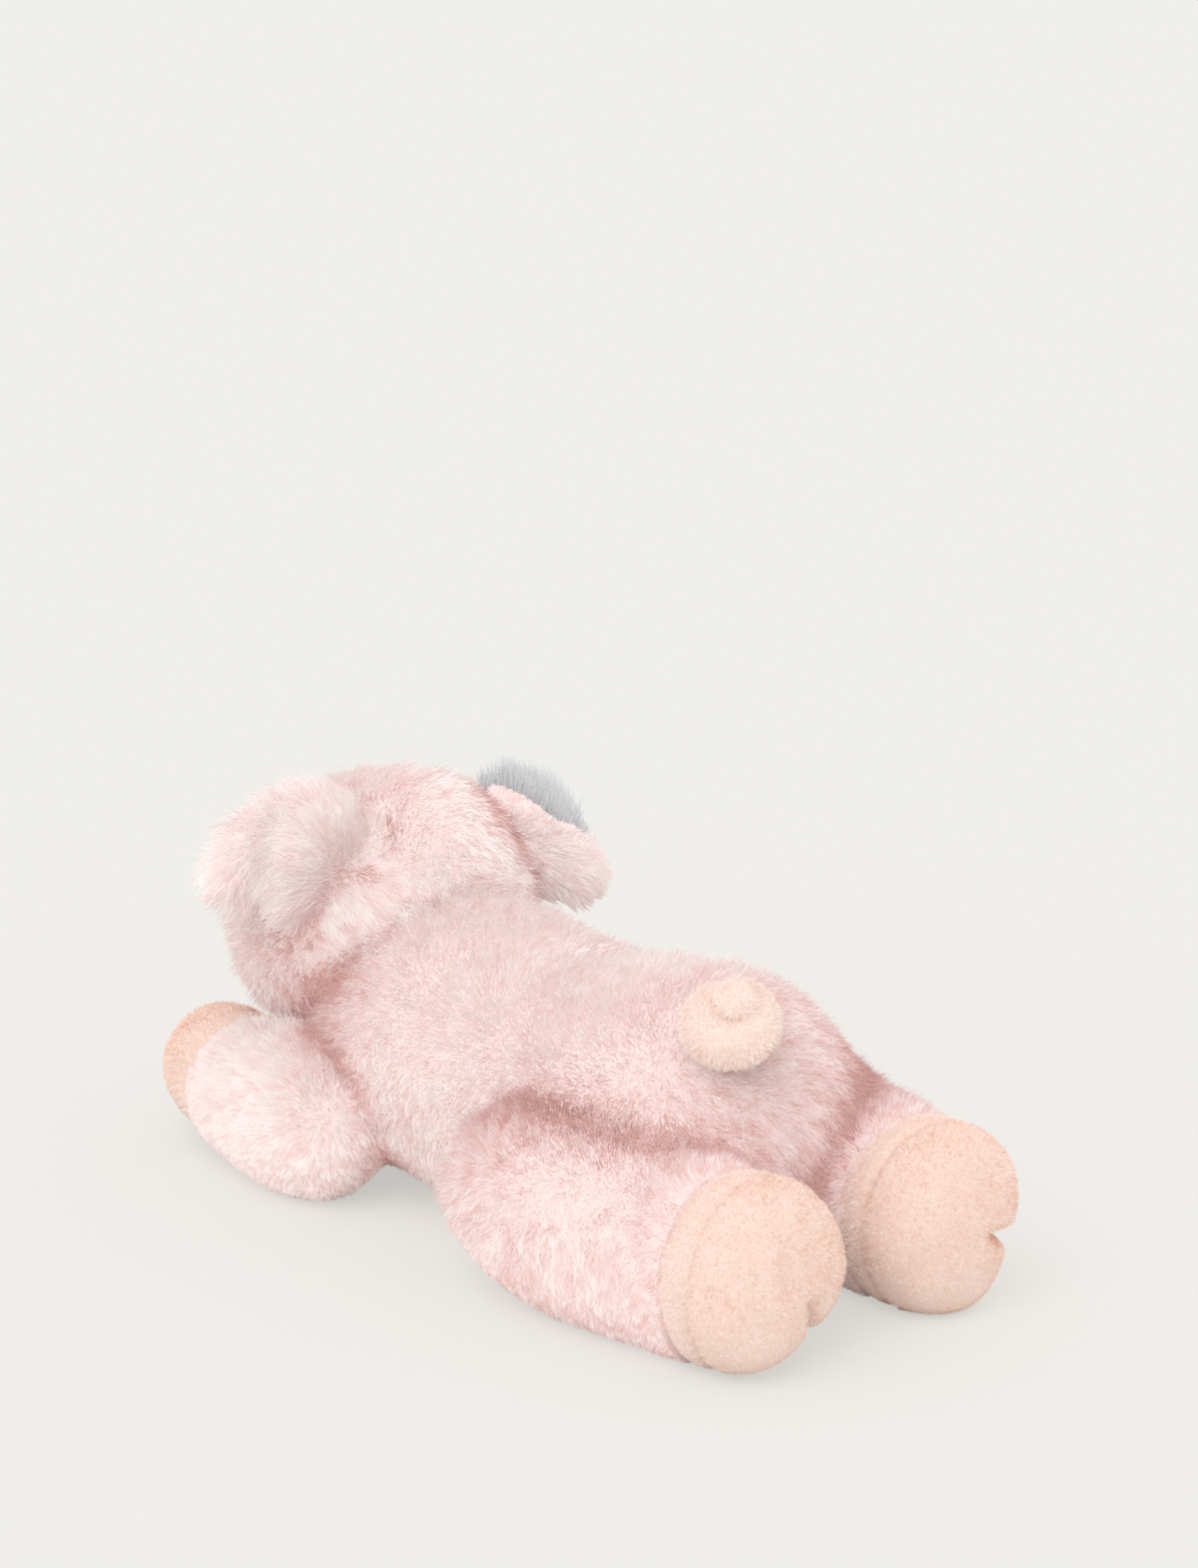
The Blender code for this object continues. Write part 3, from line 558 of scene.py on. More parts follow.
def growPile(name, skin, pile, body, material, others=(), trim=None, beside=()):
    # The roots are spread evenly by area, but not where another form covers the cloth
    mesh = skin.data
    mesh.calc_loop_triangles()
    points = positions(mesh)
    normals = normalsOf(mesh)
    flat = np.empty(len(mesh.loop_triangles) * 3, np.int32)
    mesh.loop_triangles.foreach_get("vertices", flat)
    tris = flat.reshape(-1, 3)
    away = signedDistances(points, others) if others else np.full(len(points), 1.0)
    keep = np.clip((away + nap["under"]) / nap["fade"], 0, 1)
    lengthShare = np.ones(len(points))
    if trim is not None:
        lengthShare, bald = trim(points)
        keep = keep * bald
    # Painted shade in the creases, strongest where another form lies close
    creaseShade = np.exp(-np.clip(away, 0, 1) / pile.get("creaseShadeReach", nap["creaseShadeReach"]))
    # The painted crease shade is weaker on the nape and the flank, which are open to the light
    nape = np.clip((nap["napeHeight"] - points[:, 2]) / nap["napeFade"], nap["openShare"], 1.0)
    creaseShade *= nape * np.clip((np.abs(points[:, 1]) - nap["flankHalf"]) / nap["flankFade"], nap["openShare"], 1.0)
    # Painted shade on the pile beside the given forms, such as round the ears on the head
    if beside:
        besideShade = np.exp(-np.abs(signedDistances(points, beside)) / nap["besideReach"])
        creaseShade = np.maximum(creaseShade, np.minimum(nap["besideShadeTint"] * besideShade, 1.0))
    corners = points[tris]
    areas = np.linalg.norm(np.cross(corners[:, 1] - corners[:, 0], corners[:, 2] - corners[:, 0]), axis=1) / 2
    weights = areas * keep[tris].mean(1)
    dice = np.random.default_rng(pile["seed"])
    count = int(weights.sum() * pile["density"] * 1e6)
    picked = dice.choice(len(tris), count, p=weights / weights.sum())
    first, second = dice.random(count), dice.random(count)
    swap = first + second > 1
    first[swap], second[swap] = 1 - first[swap], 1 - second[swap]
    shares = np.stack([1 - first - second, first, second], 1)[:, :, None]
    chosen = tris[picked]
    roots = (points[chosen] * shares).sum(1)
    upward = unit((normals[chosen] * shares).sum(1))
    lengths = pile["length"] * (lengthShare[chosen][:, :, None] * shares).sum(1)[:, 0]
    creaseShadeAtRoot = (creaseShade[chosen][:, :, None] * shares).sum(1)[:, 0]
    # Pressed short where the toy lies on it
    pressed = np.clip(0.8 + upward[:, 2] * 1.1, nap["pressedShare"], 1.0)
    lengths *= np.where(roots[:, 2] < nap["pressedBelow"], pressed, 1.0)

    comb = np.array(pile["comb"](roots) if callable(pile["comb"]) else pile["comb"], float)
    comb = np.broadcast_to(comb, roots.shape)
    swirl = np.stack([waves(roots, pile["swirlSize"], pile["seed"] + axis) for axis in range(3)], 1)
    stray = dice.normal(size=roots.shape) * pile["stray"]
    comb = comb + pile["swirl"] * swirl + stray
    comb = comb - upward * (comb * upward).sum(1)[:, None]
    strength = np.clip(np.linalg.norm(comb, axis=1), 0, 1)[:, None]
    comb = unit(comb)
    lengths = lengths * (1 + pile["uneven"] * waves(roots, pile["tuft"] * 2.5, pile["seed"] + 7))
    lengths = (lengths * dice.uniform(0.72, 1.1, count))[:, None]
    lowLean = math.radians(pile["lean"][0]) * strength
    highLean = math.radians(pile["lean"][1]) * strength
    start = upward * np.cos(lowLean) + comb * np.sin(lowLean)
    bent = upward * np.cos(highLean) + comb * np.sin(highLean)
    centres = tuftCentres(roots, pile["tuft"], pile["seed"])
    tuftTint = np.modf(np.abs(np.sin(centres @ np.array([12989.8, 78233.0, 37719.0])) * 43758.5))[0] - 0.5
    gather = centres - roots
    gather -= upward * (gather * upward).sum(1)[:, None]
    middles = roots + start * lengths * 0.5 + gather * 0.3 * pile["gather"]
    tips = middles + bent * lengths * 0.5 + gather * 0.7 * pile["gather"]
    floorRoom = cloth["floorRoom"]
    middles[:, 2] = np.maximum(middles[:, 2], floorRoom + 0.0004)
    tips[:, 2] = np.maximum(tips[:, 2], floorRoom + dice.uniform(0, 0.0008, count))

    twist = np.radians(dice.uniform(-pile["twist"], pile["twist"], count))[:, None]
    wide = unit(np.cross(tips - roots, upward))
    wide = unit(wide * np.cos(twist) + np.cross(unit(tips - roots), wide) * np.sin(twist))
    half = pile["thick"] / 2 * dice.uniform(0.7, 1.3, count)[:, None]
    if pile["bends"]:
        rows = [
            roots - wide * half, roots + wide * half,
            middles - wide * half * 0.85, middles + wide * half * 0.85, tips,
        ]
        faces = np.array([0, 1, 3, 2, 2, 3, 4])
        sizes = [4, 3]
        heights = np.array([0.02, 0.02, 0.5, 0.5, 0.98])
        offsets = np.array([-1, 1, -1, 1, 0])
    else:
        rows = [roots - wide * half, roots + wide * half, tips]
        faces = np.array([0, 1, 2])
        sizes = [3]
        heights = np.array([0.02, 0.02, 0.98])
        offsets = np.array([-1, 1, 0])
    per = len(rows)
    verts = np.stack(rows, 1).reshape(-1, 3)
    loops = (np.arange(count)[:, None] * per + faces[None, :]).ravel()
    totals = np.tile(sizes, count)
    starts = np.concatenate([[0], np.cumsum(totals)[:-1]])
    made = bpy.data.meshes.new(name)
    made.vertices.add(len(verts))
    made.vertices.foreach_set("co", verts.astype(np.float32).ravel())
    made.loops.add(len(loops))
    made.loops.foreach_set("vertex_index", loops.astype(np.int32))
    made.polygons.add(len(totals))
    made.polygons.foreach_set("loop_start", starts.astype(np.int32))
    made.update(calc_edges=True)

    # The tint along U is the tufts' own tone at random, lowered by painted shade in the creases, and shifted by tintBy,
    # which paints shade on some pieces
    tint = 0.5 + pile["tintSpread"] * waves(roots, pile["tintSize"], pile["seed"] + 11) * 0.5
    tint += nap["tintNoise"] * dice.normal(size=count) + pile["tuftTint"] * tuftTint - pile["creaseShadeTint"] * creaseShadeAtRoot
    if "tintBy" in pile:
        tint += pile["tintBy"](roots)
    tint = np.clip(tint, 0.03, 0.97)
    layer = made.uv_layers.new(name="OFBake")
    uv = np.empty((count, len(faces), 2), np.float32)
    uv[:, :, 0] = tint[:, None] + offsets[faces][None, :] * 0.012
    uv[:, :, 1] = heights[faces][None, :]
    layer.data.foreach_set("uv", uv.ravel())
    made.shade_smooth()
    made.materials.append(material)
    piece = linkPiece(name, made)
    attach(piece, body)
    print(name, count, "strands,", count * (3 if pile["bends"] else 1), "triangles")
    return piece


# Materials
def shader(name, roughness, sheen=0.0, specular=0.3):
    material = bpy.data.materials.new(name)
    material.use_nodes = True
    nodes = material.node_tree.nodes
    surface = nodes["Principled BSDF"]
    surface.inputs["Roughness"].default_value = roughness
    surface.inputs["Sheen Weight"].default_value = sheen
    surface.inputs["Specular IOR Level"].default_value = specular
    return material, nodes, material.node_tree.links, surface


def ramp(nodes, stops):
    made = nodes.new("ShaderNodeValToRGB")
    elements = made.color_ramp.elements
    while len(elements) < len(stops):
        elements.new(0.5)
    for element, (place, colour) in zip(elements, stops):
        element.position = place
        element.color = (*colour, 1.0)
    return made


def strandMaterial(name, root, mid, tip, deepShade, dark, light, fibreShade):
    # Root to tip along V, deeper pink at the root and paler at the tip, the deeper root being painted shade down in the
    # pile; and the tuft's own tint along U, which also carries painted shade
    material, nodes, links, surface = shader(name, 0.75, 0.15, 0.2)
    uv = nodes.new("ShaderNodeUVMap")
    uv.uv_map = "OFBake"
    split = nodes.new("ShaderNodeSeparateXYZ")
    links.new(uv.outputs["UV"], split.inputs[0])
    # Painted shade: the root colour is deeper than the tip's, for the shade down between the strands
    length = ramp(nodes, [(0.0, root), (0.45, mid), (0.95, tip)])
    links.new(split.outputs["Y"], length.inputs["Fac"])
    # Towards the deep end the tint ramp is painted shade, for creases, seams, clefts, the coil's turns and the rump;
    # round the middle it is the tufts' own tone
    tint = ramp(nodes, [(0.0, deepShade), (0.3, dark), (0.5, (1.0, 1.0, 1.0)), (1.0, light)])
    links.new(split.outputs["X"], tint.inputs["Fac"])
    mix = nodes.new("ShaderNodeMix")
    mix.data_type = "RGBA"
    mix.blend_type = "MULTIPLY"
    mix.inputs["Factor"].default_value = 1.0
    links.new(length.outputs["Color"], mix.inputs["A"])
    links.new(tint.outputs["Color"], mix.inputs["B"])
    links.new(mix.outputs["Result"], surface.inputs["Base Color"])
    # Light that has left the camera's sight passes most strands, as it passes fine fibre
    clear = nodes.new("ShaderNodeBsdfTransparent")
    way = nodes.new("ShaderNodeLightPath")
    veil = nodes.new("ShaderNodeMath")
    veil.operation = "MULTIPLY_ADD"
    veil.inputs[1].default_value = 1.0 - fibreShade
    veil.inputs[2].default_value = fibreShade
    links.new(way.outputs["Is Camera Ray"], veil.inputs[0])
    seen = nodes.new("ShaderNodeMixShader")
    links.new(veil.outputs[0], seen.inputs[0])
    links.new(clear.outputs[0], seen.inputs[1])
    links.new(surface.outputs[0], seen.inputs[2])
    links.new(seen.outputs[0], nodes["Material Output"].inputs["Surface"])
    return material


def clothMaterial(name, low, high, size, bump, roughness=0.9):
    # Short wormy nap over slow changes of tone
    material, nodes, links, surface = shader(name, roughness, 0.25, 0.2)
    place = nodes.new("ShaderNodeTexCoord")
    slow = nodes.new("ShaderNodeTexNoise")
    slow.inputs["Scale"].default_value = 45.0
    fine = nodes.new("ShaderNodeTexNoise")
    fine.inputs["Scale"].default_value = 1.0 / size
    fine.inputs["Detail"].default_value = 4.0
    fine.inputs["Distortion"].default_value = 1.5
    for texture in (slow, fine):
        links.new(place.outputs["Object"], texture.inputs["Vector"])
    blend = nodes.new("ShaderNodeMath")
    blend.operation = "MULTIPLY_ADD"
    blend.inputs[1].default_value = 0.6
    links.new(fine.outputs["Fac"], blend.inputs[0])
    half = nodes.new("ShaderNodeMath")
    half.operation = "MULTIPLY"
    half.inputs[1].default_value = 0.4
    links.new(slow.outputs["Fac"], half.inputs[0])
    links.new(half.outputs[0], blend.inputs[2])
    tones = ramp(nodes, [(0.35, low), (0.62, high)])
    links.new(blend.outputs[0], tones.inputs["Fac"])
    links.new(tones.outputs["Color"], surface.inputs["Base Color"])
    relief = nodes.new("ShaderNodeBump")
    relief.inputs["Distance"].default_value = bump
    relief.inputs["Strength"].default_value = 0.6
    links.new(fine.outputs["Fac"], relief.inputs["Height"])
    links.new(relief.outputs["Normal"], surface.inputs["Normal"])
    return material


# The fourth colour of each strand material is the painted shade at the deep end of its tint
pinkPile = strandMaterial("pink_strands", colours["pinkRoot"], colours["pinkMid"], colours["pinkTip"],
                         (0.70, 0.42, 0.39), (0.95, 0.82, 0.81), (1.02, 1.04, 1.04), 0.045)
greyPile = strandMaterial("grey_strands", colours["greyRoot"], (0.62, 0.625, 0.645), colours["greyTip"],
                         (0.60, 0.60, 0.62), (0.80, 0.80, 0.82), (1.04, 1.05, 1.05), 0.13)
creamNap = strandMaterial("cream_strands", colours["creamRoot"], colours["creamMid"], colours["creamTip"],
                          (0.80, 0.60, 0.52), (0.95, 0.86, 0.81), (1.03, 1.09, 1.13), 0.18)
tailNap = strandMaterial("tail_strands", (0.95, 0.74, 0.65), (0.98, 0.86, 0.80), colours["tailTip"],
                         (0.80, 0.62, 0.54), (0.96, 0.89, 0.84), (1.02, 1.04, 1.05), 0.18)
pinkCloth = clothMaterial("pink_cloth", colours["pinkRoot"], (0.985, 0.80, 0.78), 0.003, 0.0004)
greyCloth = clothMaterial("grey_cloth", colours["greyRoot"], (0.36, 0.36, 0.38), 0.003, 0.0004)
creamCloth = clothMaterial("cream_cloth", colours["creamRoot"], colours["creamMid"], 0.0011, 0.0004)
tailCloth = clothMaterial("tail_cloth", (0.95, 0.74, 0.65), (0.98, 0.86, 0.80), 0.0011, 0.0004)
skinCloths = [(torsoSkin, pinkCloth), (headSkin, pinkCloth), (snoutSkin, creamCloth), (tailPiece, tailCloth)]
skinCloths += [(piece, pinkCloth) for piece in legSkins.values()]
skinCloths += [(piece, creamCloth) for piece in hoofSkins.values()]
skinCloths += [(piece, pinkCloth if "back" in name else greyCloth) for name, piece in earSkins.items()]
for piece, material in skinCloths:
    piece.data.materials.clear()
    piece.data.materials.append(material)


def plasticMaterial(name, colour, roughness, bump):
    material, nodes, links, surface = shader(name, roughness, 0.0, 0.5)
    place = nodes.new("ShaderNodeTexCoord")
    grain = nodes.new("ShaderNodeTexNoise")
    grain.inputs["Scale"].default_value = 900.0
    links.new(place.outputs["Object"], grain.inputs["Vector"])
    tones = ramp(nodes, [(0.3, tuple(value * 0.8 for value in colour)), (0.7, colour)])
    links.new(grain.outputs["Fac"], tones.inputs["Fac"])
    links.new(tones.outputs["Color"], surface.inputs["Base Color"])
    relief = nodes.new("ShaderNodeBump")
    relief.inputs["Distance"].default_value = bump
    relief.inputs["Strength"].default_value = 0.3
    links.new(grain.outputs["Fac"], relief.inputs["Height"])
    links.new(relief.outputs["Normal"], surface.inputs["Normal"])
    return material


def threadMaterial(name, colour):
    # Satin stitch, one band of thread beside another
    material, nodes, links, surface = shader(name, 0.45, 0.2, 0.4)
    place = nodes.new("ShaderNodeTexCoord")
    bands = nodes.new("ShaderNodeTexWave")
    bands.bands_direction = "Z"
    bands.inputs["Scale"].default_value = 600.0
    bands.inputs["Distortion"].default_value = 0.6
    links.new(place.outputs["Object"], bands.inputs["Vector"])
    tones = ramp(nodes, [(0.2, tuple(value * 0.6 for value in colour)), (0.8, colour)])
    links.new(bands.outputs["Fac"], tones.inputs["Fac"])
    links.new(tones.outputs["Color"], surface.inputs["Base Color"])
    relief = nodes.new("ShaderNodeBump")
    relief.inputs["Distance"].default_value = 0.0003
    links.new(bands.outputs["Fac"], relief.inputs["Height"])
    links.new(relief.outputs["Normal"], surface.inputs["Normal"])
    return material


eyeBlack = plasticMaterial("eye_black_glossy", (0.012, 0.010, 0.010), 0.08, 0.00002)
washerWhite = plasticMaterial("washer_plastic_white", (0.75, 0.75, 0.74), 0.4, 0.0001)
nostrilThread = threadMaterial("nostril_thread_satin", (0.62, 0.30, 0.24))
for name, node in frame["nodes"].items():
    for word, material in (("washer", washerWhite), ("nostril", nostrilThread), ("eye", eyeBlack)):
        if word in name:
            node.data.materials.clear()
            node.data.materials.append(material)
            break
print("materials made")


# Where each pile grows and which way it is brushed
# The crease tint of each coat sets how dark the painted shade in its creases is
pinkCoat = {
    "length": 0.0074, "density": 2.5, "thick": 0.00030, "lean": (30.0, 62.0), "twist": 60.0, "bends": True,
    "tuft": 0.0036, "gather": 0.50, "stray": 0.30, "swirl": 0.55, "swirlSize": 0.045, "uneven": 0.30,
    "tintSpread": 0.12, "tintSize": 0.010, "tuftTint": 0.30, "creaseShadeTint": 0.50, "comb": (0.0, 0.75, -0.45), "seed": 21,
}
velourCoat = {
    "length": 0.0014, "density": 6.0, "thick": 0.00028, "lean": (12.0, 38.0), "twist": 60.0, "bends": False,
    "tuft": 0.0013, "gather": 0.9, "stray": 0.5, "swirl": 0.6, "swirlSize": 0.012, "uneven": 0.25,
    "tintSpread": 0.2, "tintSize": 0.010, "tuftTint": 0.34, "creaseShadeTint": 0.0, "comb": (0.0, 0.5, -0.3), "seed": 51,
}
eyePlaces = [(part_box(side + "_eye")[0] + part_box(side + "_eye")[1]) / 2 for side in ("left", "right")]


def headTrim(points):
    # Short round the eyes, brushed back from the snout's seam
    share = np.ones(len(points))
    for place in eyePlaces:
        away = np.linalg.norm(points - np.array(place), axis=1)
        share = np.minimum(share, np.clip((away - 0.004) / 0.016, 0.15, 1.0))
    seam = np.array(headPlace @ Vector((0, snoutPlane, 0)))
    toSeam = (seam - points) @ np.array(forward)
    share = np.minimum(share, np.clip(0.35 + toSeam / 0.020, 0.35, 1.0))
    return share, np.ones(len(points))


def earComb(side, spread):
    # From the root out to the rim, and along spread
    sign = 1 if side == "left" else -1
    toLocal = np.array(earFrame(side).inverted())
    rotate = np.array(earFrame(side).to_3x3())

    def comb(points):
        local = points @ toLocal[:3, :3].T + toLocal[:3, 3]
        fan = np.stack([np.full(len(points), sign * spread[0]), np.zeros(len(points)),
                        local[:, 2] * spread[1] + spread[2]], 1)
        return fan @ rotate.T

    return comb


def outerOnly(points, pair):
    # No pile between the two cloths of an ear
    return np.clip((signedDistances(points, [pair]) - 0.0005) / 0.0006, 0, 1)


def backTrim(side):
    # Longest round the left ear's lower rim, short at the right ear's tip
    toLocal = np.array(earFrame(side).inverted())

    def trim(points):
        local = points @ toLocal[:3, :3].T + toLocal[:3, 3]
        if side == "left":
            share = 1.0 + 0.35 * np.clip(-local[:, 2] / 0.012, 0, 1)
        else:
            across = (local[:, 2] + np.abs(local[:, 0]) * 0.3) / (ears["width"] / 2)
            share = np.clip(1.0 - (np.abs(local[:, 0]) / ears["length"] - 0.55) * 1.6, 0.4, 1.0)
            share = np.minimum(share, np.clip(1.0 - (across + 0.15) * 1.6, 0.25, 1.0))
        return share, outerOnly(points, earSkins[side + "_ear_lining_skin"])

    return trim


def liningTrim(side, upper):
    # Kept short at the rim, apart from the upper rim where it shows over the edge
    toLocal = np.array(earFrame(side).inverted())

    def trim(points):
        local = points @ toLocal[:3, :3].T + toLocal[:3, 3]
        half = (ears["length"] + ears["rootDepth"]) / 2
        along = (np.abs(local[:, 0]) - (ears["length"] - ears["rootDepth"]) / 2) / half
        across = (local[:, 2] + np.abs(local[:, 0]) * 0.3) / (ears["width"] / 2)
        rim = np.sqrt(along ** 2 + across ** 2)
        share = np.clip(1.0 - (rim - 0.45) * 2.2, 0.15, 1.0)
        share = np.where(across > 0.3, np.maximum(share, upper), share)
        return share, outerOnly(points, earSkins[side + "_ear_back_skin"])

    return trim


def cuffTrim(name):
    # Short beside the hoof's seam, so that the seam shows
    heading, seamPoint = cuffs[name]

    def trim(points):
        toSeam = (np.array(seamPoint) - points) @ np.array(heading)
        low = 0.2 if "front" in name else 0.35
        return np.clip(low + toSeam / 0.018, low, 1.0), np.ones(len(points))

    return trim


def legComb(name):
    # Along the leg, but not out over the hoof
    heading, seamPoint = cuffs[name]
    share = 0.3 if "front" in name else 0.75

    def comb(points):
        toSeam = (np.array(seamPoint) - points) @ np.array(heading)
        along = share * np.clip(toSeam / 0.022, -0.3, 1.0)
        return along[:, None] * np.array(heading)[None, :] + np.array([0.0, 0.0, -0.45])

    return comb


def evenTint(amount):
    return lambda roots: np.full(len(roots), amount)


def rumpShade(roots):
    # Painted shade, darker and pinker over the rump, where the nap turns down
    return -0.16 * np.clip((roots[:, 1] - 0.055) / 0.03, 0, 1)


torsoParts = [headSkin] + list(legSkins.values())
torsoCoat = {**pinkCoat, "density": 1.35, "creaseShadeReach": 0.0075, "creaseShadeTint": 0.55, "tintBy": rumpShade}
growPile("torso_pile_1", torsoSkin, torsoCoat, "torso", pinkPile, torsoParts)
torsoCoat.update(seed=22, length=0.0064)
growPile("torso_pile_2", torsoSkin, torsoCoat, "torso", pinkPile, torsoParts)
headParts = [torsoSkin, legSkins["left_front"], legSkins["right_front"]]
earBacks = [earSkins["left_ear_back_skin"], earSkins["right_ear_back_skin"]]
headCoat = {**pinkCoat, "comb": (0.0, 0.8, -0.4), "seed": 23, "creaseShadeReach": 0.009, "creaseShadeTint": 0.60}
# The head's pile is darkened with painted shade next to the ears' backs
growPile("head_pile", headSkin, headCoat, "head", pinkPile, headParts, headTrim, earBacks)
for index, (name, leg) in enumerate(legSkins.items()):
    # Painted shade: the hind legs' pile is a little darker and pinker than the front legs'
    coat = {**pinkCoat, "comb": legComb(name), "seed": 30 + index, "tintBy": evenTint(-0.12), "swirl": 0.35}
    if "front" in name:
        coat.update(length=0.0064, tintBy=evenTint(0.0))
    growPile(name + "_leg_pile", leg, coat, name + "_leg", pinkPile, [torsoSkin], cuffTrim(name))

# The right ear's lining is brushed up over its rim, and the left one's lies flat
earCoat = {
    "tuft": 0.005, "density": 3.2, "length": 0.0078, "creaseShadeReach": 0.002, "lean": (48.0, 76.0), "twist": 30.0,
    # Painted shade: the ear backs' pile is a little darker and pinker throughout
    "tuftTint": 0.12, "tintSpread": 0.10, "tintBy": evenTint(-0.10),
}
liningCoat = {"length": 0.0125, "lean": (58.0, 84.0), "tintBy": evenTint(0.0)}
liningRise = {"left": 0.0, "right": 0.9}
liningRim = {"left": 0.15, "right": 1.0}
for side in ("left", "right"):
    backSkin, liningSkin = earSkins[side + "_ear_back_skin"], earSkins[side + "_ear_lining_skin"]
    coat = {**pinkCoat, **earCoat, "comb": earComb(side, (0.9, 33.0, 0.0)), "seed": 40 + len(side)}
    growPile(side + "_ear_back_pile", backSkin, coat, side + "_ear", pinkPile,
             [headSkin], backTrim(side))
    coat = {**coat, **liningCoat, "comb": earComb(side, (0.5, 20.0, liningRise[side])), "seed": 45 + len(side)}
    growPile(side + "_ear_lining_pile", liningSkin, coat, side + "_ear", greyPile,
             [headSkin], liningTrim(side, liningRim[side]))


def padSeamAway(name, points):
    # Along the hoof from the seam between its side band and its end pad
    heading, seamPoint = cuffs[name]
    form = forms["front" if "front" in name else "hind"]
    pad = form["length"] * (1 - form["cuff"])
    return (points - np.array(seamPoint)) @ np.array(heading) - hooves["padSeam"] * pad


def hoofTrim(name):
    # Sewn flat along the seams
    def trim(points):
        share = np.clip(np.abs(padSeamAway(name, points)) / 0.0022, 0.25, 1.0)
        return share, np.ones(len(points))

    return trim


def hoofTint(name):
    # The side band is paler than the end pad, and the seam and the cleft are in shade
    toForm, middleHeight, cleftAngle = hoofMarks[name]
    inverse = np.array(toForm)

    def tint(roots):
        away = padSeamAway(name, roots)
        local = roots @ inverse[:3, :3].T + inverse[:3, 3] - np.array([0.0, 0.0, middleHeight])
        sideways = local @ np.array([-math.sin(cleftAngle), 0.0, math.cos(cleftAngle)])
        towards = local @ np.array([math.cos(cleftAngle), 0.0, math.sin(cleftAngle)])
        cleft = np.exp(-(sideways / 0.0022) ** 2) * np.clip(towards / 0.012, 0, 1) * np.clip(away / 0.008, 0, 1)
        return np.where(away < 0, 0.28, -0.08) - 0.55 * np.exp(-(away / 0.0010) ** 2) - 0.5 * cleft

    return tint


nostrils = [(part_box(side + "_nostril")[0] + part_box(side + "_nostril")[1]) / 2 for side in ("left", "right")]


def snoutTrim(points):
    # Clear of the sewn nostrils
    bare = np.ones(len(points))
    for place in nostrils:
        away = np.linalg.norm((points - np.array(place)) / np.array([0.0030, 0.0060, 0.0042]), axis=1)
        bare = np.minimum(bare, np.clip((away - 1.0) / 0.3, 0, 1))
    return np.ones(len(points)), bare


for index, (name, hoof) in enumerate(hoofSkins.items()):
    coat = {**velourCoat, "seed": 51 + index, "tintBy": hoofTint(name)}
    growPile(name + "_hoof_nap", hoof, coat, name + "_leg", creamNap, (), hoofTrim(name))
snoutCoat = {**velourCoat, "seed": 61, "density": 8.0}
growPile("snout_nap", snoutSkin, snoutCoat, "head", creamNap, (), snoutTrim)


def coilTint(roots):
    # In shade where one turn of the coil lies against the next
    tree = BVHTree.FromPolygons([vert.co.copy() for vert in tailPiece.data.vertices],
                                [tuple(face.vertices) for face in tailPiece.data.polygons])
    tint = np.zeros(len(roots))
    for index, root in enumerate(roots):
        normal = tree.find_nearest(Vector(root))[1]
        room = tree.ray_cast(Vector(root) + normal * 0.0003, normal, 0.006)[3]
        if room is not None:
            tint[index] = -0.75 * (1 - room / 0.006)
    return tint


tailCoat = {**velourCoat, "seed": 62, "length": 0.0020, "tintBy": coilTint}
growPile("tail_nap", tailPiece, tailCoat, "tail", tailNap)
print("pile grown")

# Floor, light and camera
stageSet = {
    "floorSize": 40.0, "skyStrength": 0.90, "sunStrength": 0.80, "sunAngle": 45.0, "sunFrom": (0.60, 0.24, 0.76),
    "floorShare": 0.916, "floorGlow": 0.6, "lens": 96.3, "camera": (0.8644, 0.9971, 0.4893),
    "right": (-0.74896, 0.66262, 0.0), "up": (-0.16591, -0.18753, 0.96815), "back": (0.64152, 0.72510, 0.25038),
}
bm = bmesh.new()
bmesh.ops.create_grid(bm, x_segments=1, y_segments=1, size=stageSet["floorSize"] / 2)
floor = linkPiece("floor", meshFrom(bm, "floor"))
floor.location.z = -0.0003
paper, nodes, links, surface = shader("paper", 1.0, 0.0, 0.0)
surface.inputs["Base Color"].default_value = (*[value * stageSet["floorShare"] for value in colours["paper"]], 1.0)
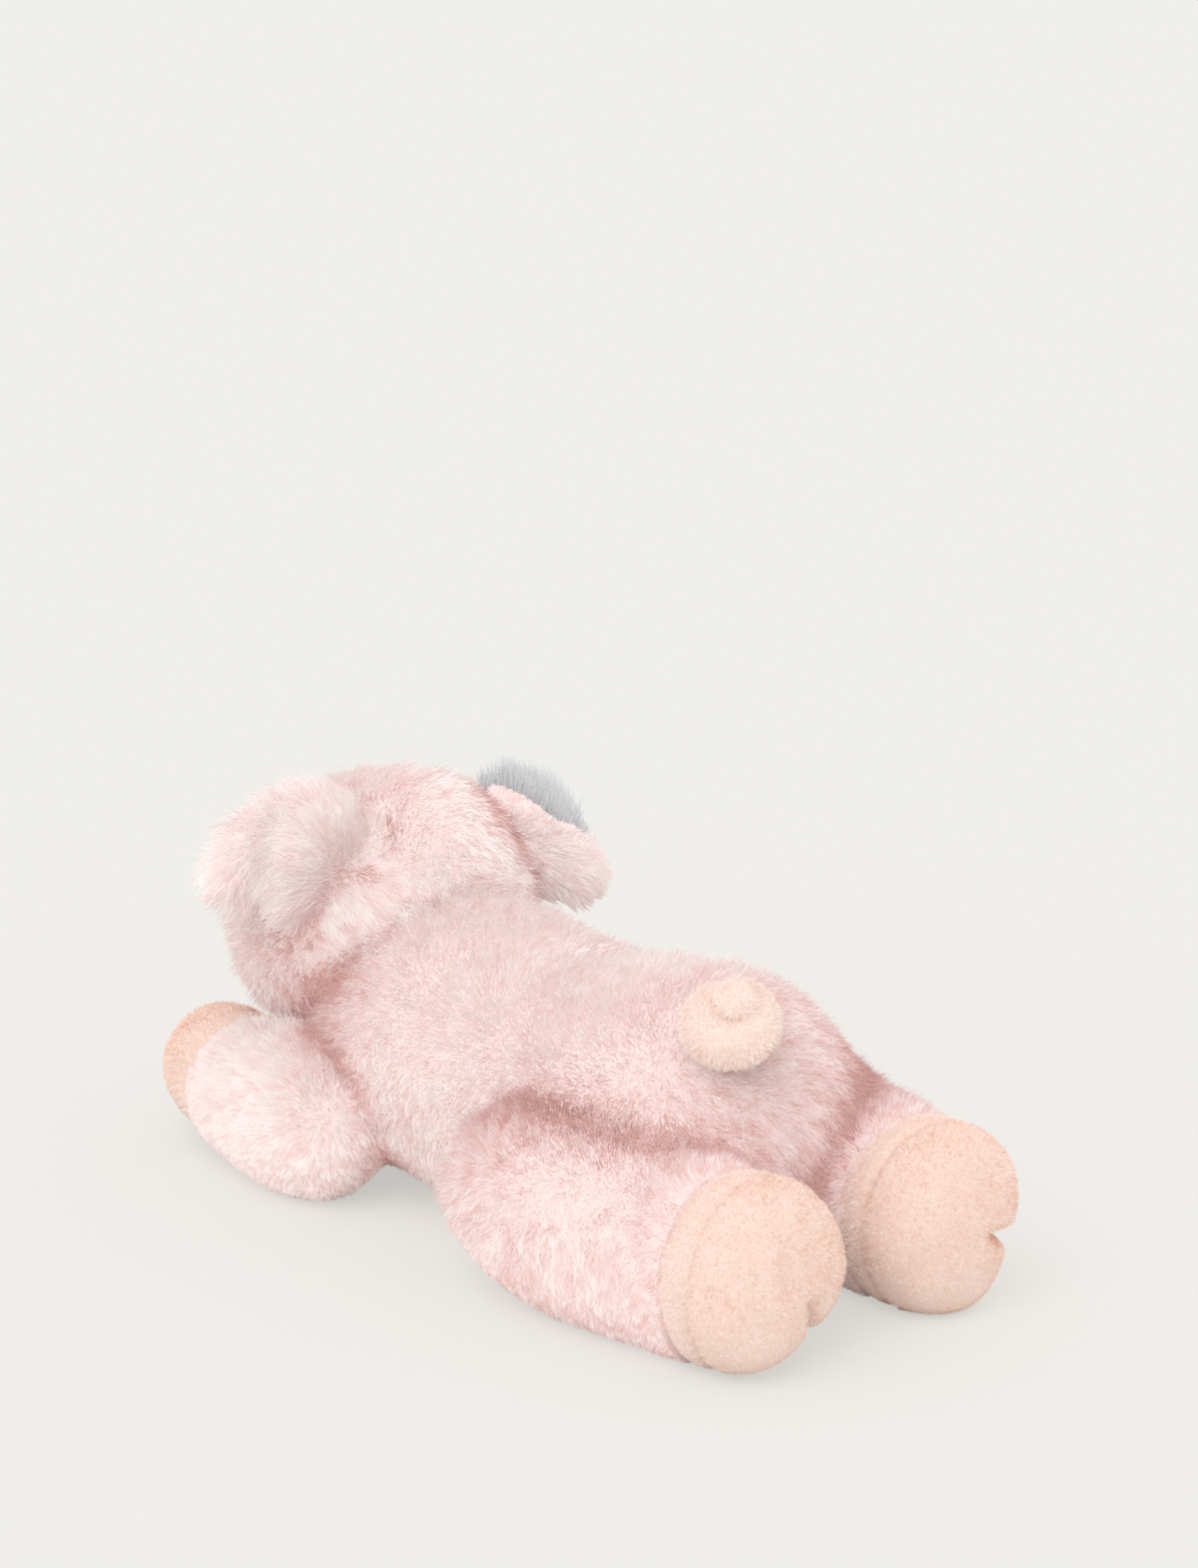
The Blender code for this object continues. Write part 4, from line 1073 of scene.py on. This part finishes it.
# Seen straight on, the paper glows a little through the object's shadow, as a lit studio table does
glow = nodes.new("ShaderNodeEmission")
glow.inputs["Color"].default_value = (*colours["paper"], 1.0)
sight = nodes.new("ShaderNodeLightPath")
part = nodes.new("ShaderNodeMath")
part.operation = "MULTIPLY"
part.inputs[1].default_value = stageSet["floorGlow"]
links.new(sight.outputs["Is Camera Ray"], part.inputs[0])
both = nodes.new("ShaderNodeMixShader")
links.new(part.outputs[0], both.inputs[0])
links.new(surface.outputs[0], both.inputs[1])
links.new(glow.outputs[0], both.inputs[2])
links.new(both.outputs[0], nodes["Material Output"].inputs["Surface"])
floor.data.materials.append(paper)

world = bpy.data.worlds.new("studio")
world.use_nodes = True
bpy.context.scene.world = world
nodes = world.node_tree.nodes
links = world.node_tree.links
sky = nodes["Background"]
sky.inputs["Color"].default_value = (1.0, 0.995, 0.985, 1.0)
sky.inputs["Strength"].default_value = stageSet["skyStrength"]
seen = nodes.new("ShaderNodeBackground")
seen.inputs["Color"].default_value = (*colours["paper"], 1.0)
chooser = nodes.new("ShaderNodeMixShader")
path = nodes.new("ShaderNodeLightPath")
links.new(path.outputs["Is Camera Ray"], chooser.inputs[0])
links.new(sky.outputs[0], chooser.inputs[1])
links.new(seen.outputs[0], chooser.inputs[2])
links.new(chooser.outputs[0], nodes["World Output"].inputs["Surface"])

sun = bpy.data.objects.new("key_light", bpy.data.lights.new("key_light", "SUN"))
bpy.context.scene.collection.objects.link(sun)
sun.data.energy = stageSet["sunStrength"]
sun.data.angle = math.radians(stageSet["sunAngle"])
sun.rotation_euler = Vector(stageSet["sunFrom"]).to_track_quat("Z", "Y").to_euler()

camera = bpy.data.objects.new("camera", bpy.data.cameras.new("camera"))
bpy.context.scene.collection.objects.link(camera)
camera.data.lens = stageSet["lens"]
turn = Matrix((stageSet["right"], stageSet["up"], stageSet["back"])).transposed().to_4x4()
camera.matrix_world = Matrix.Translation(Vector(stageSet["camera"]) + middle) @ turn
bpy.context.scene.camera = camera
bpy.context.scene.view_settings.view_transform = "Standard"
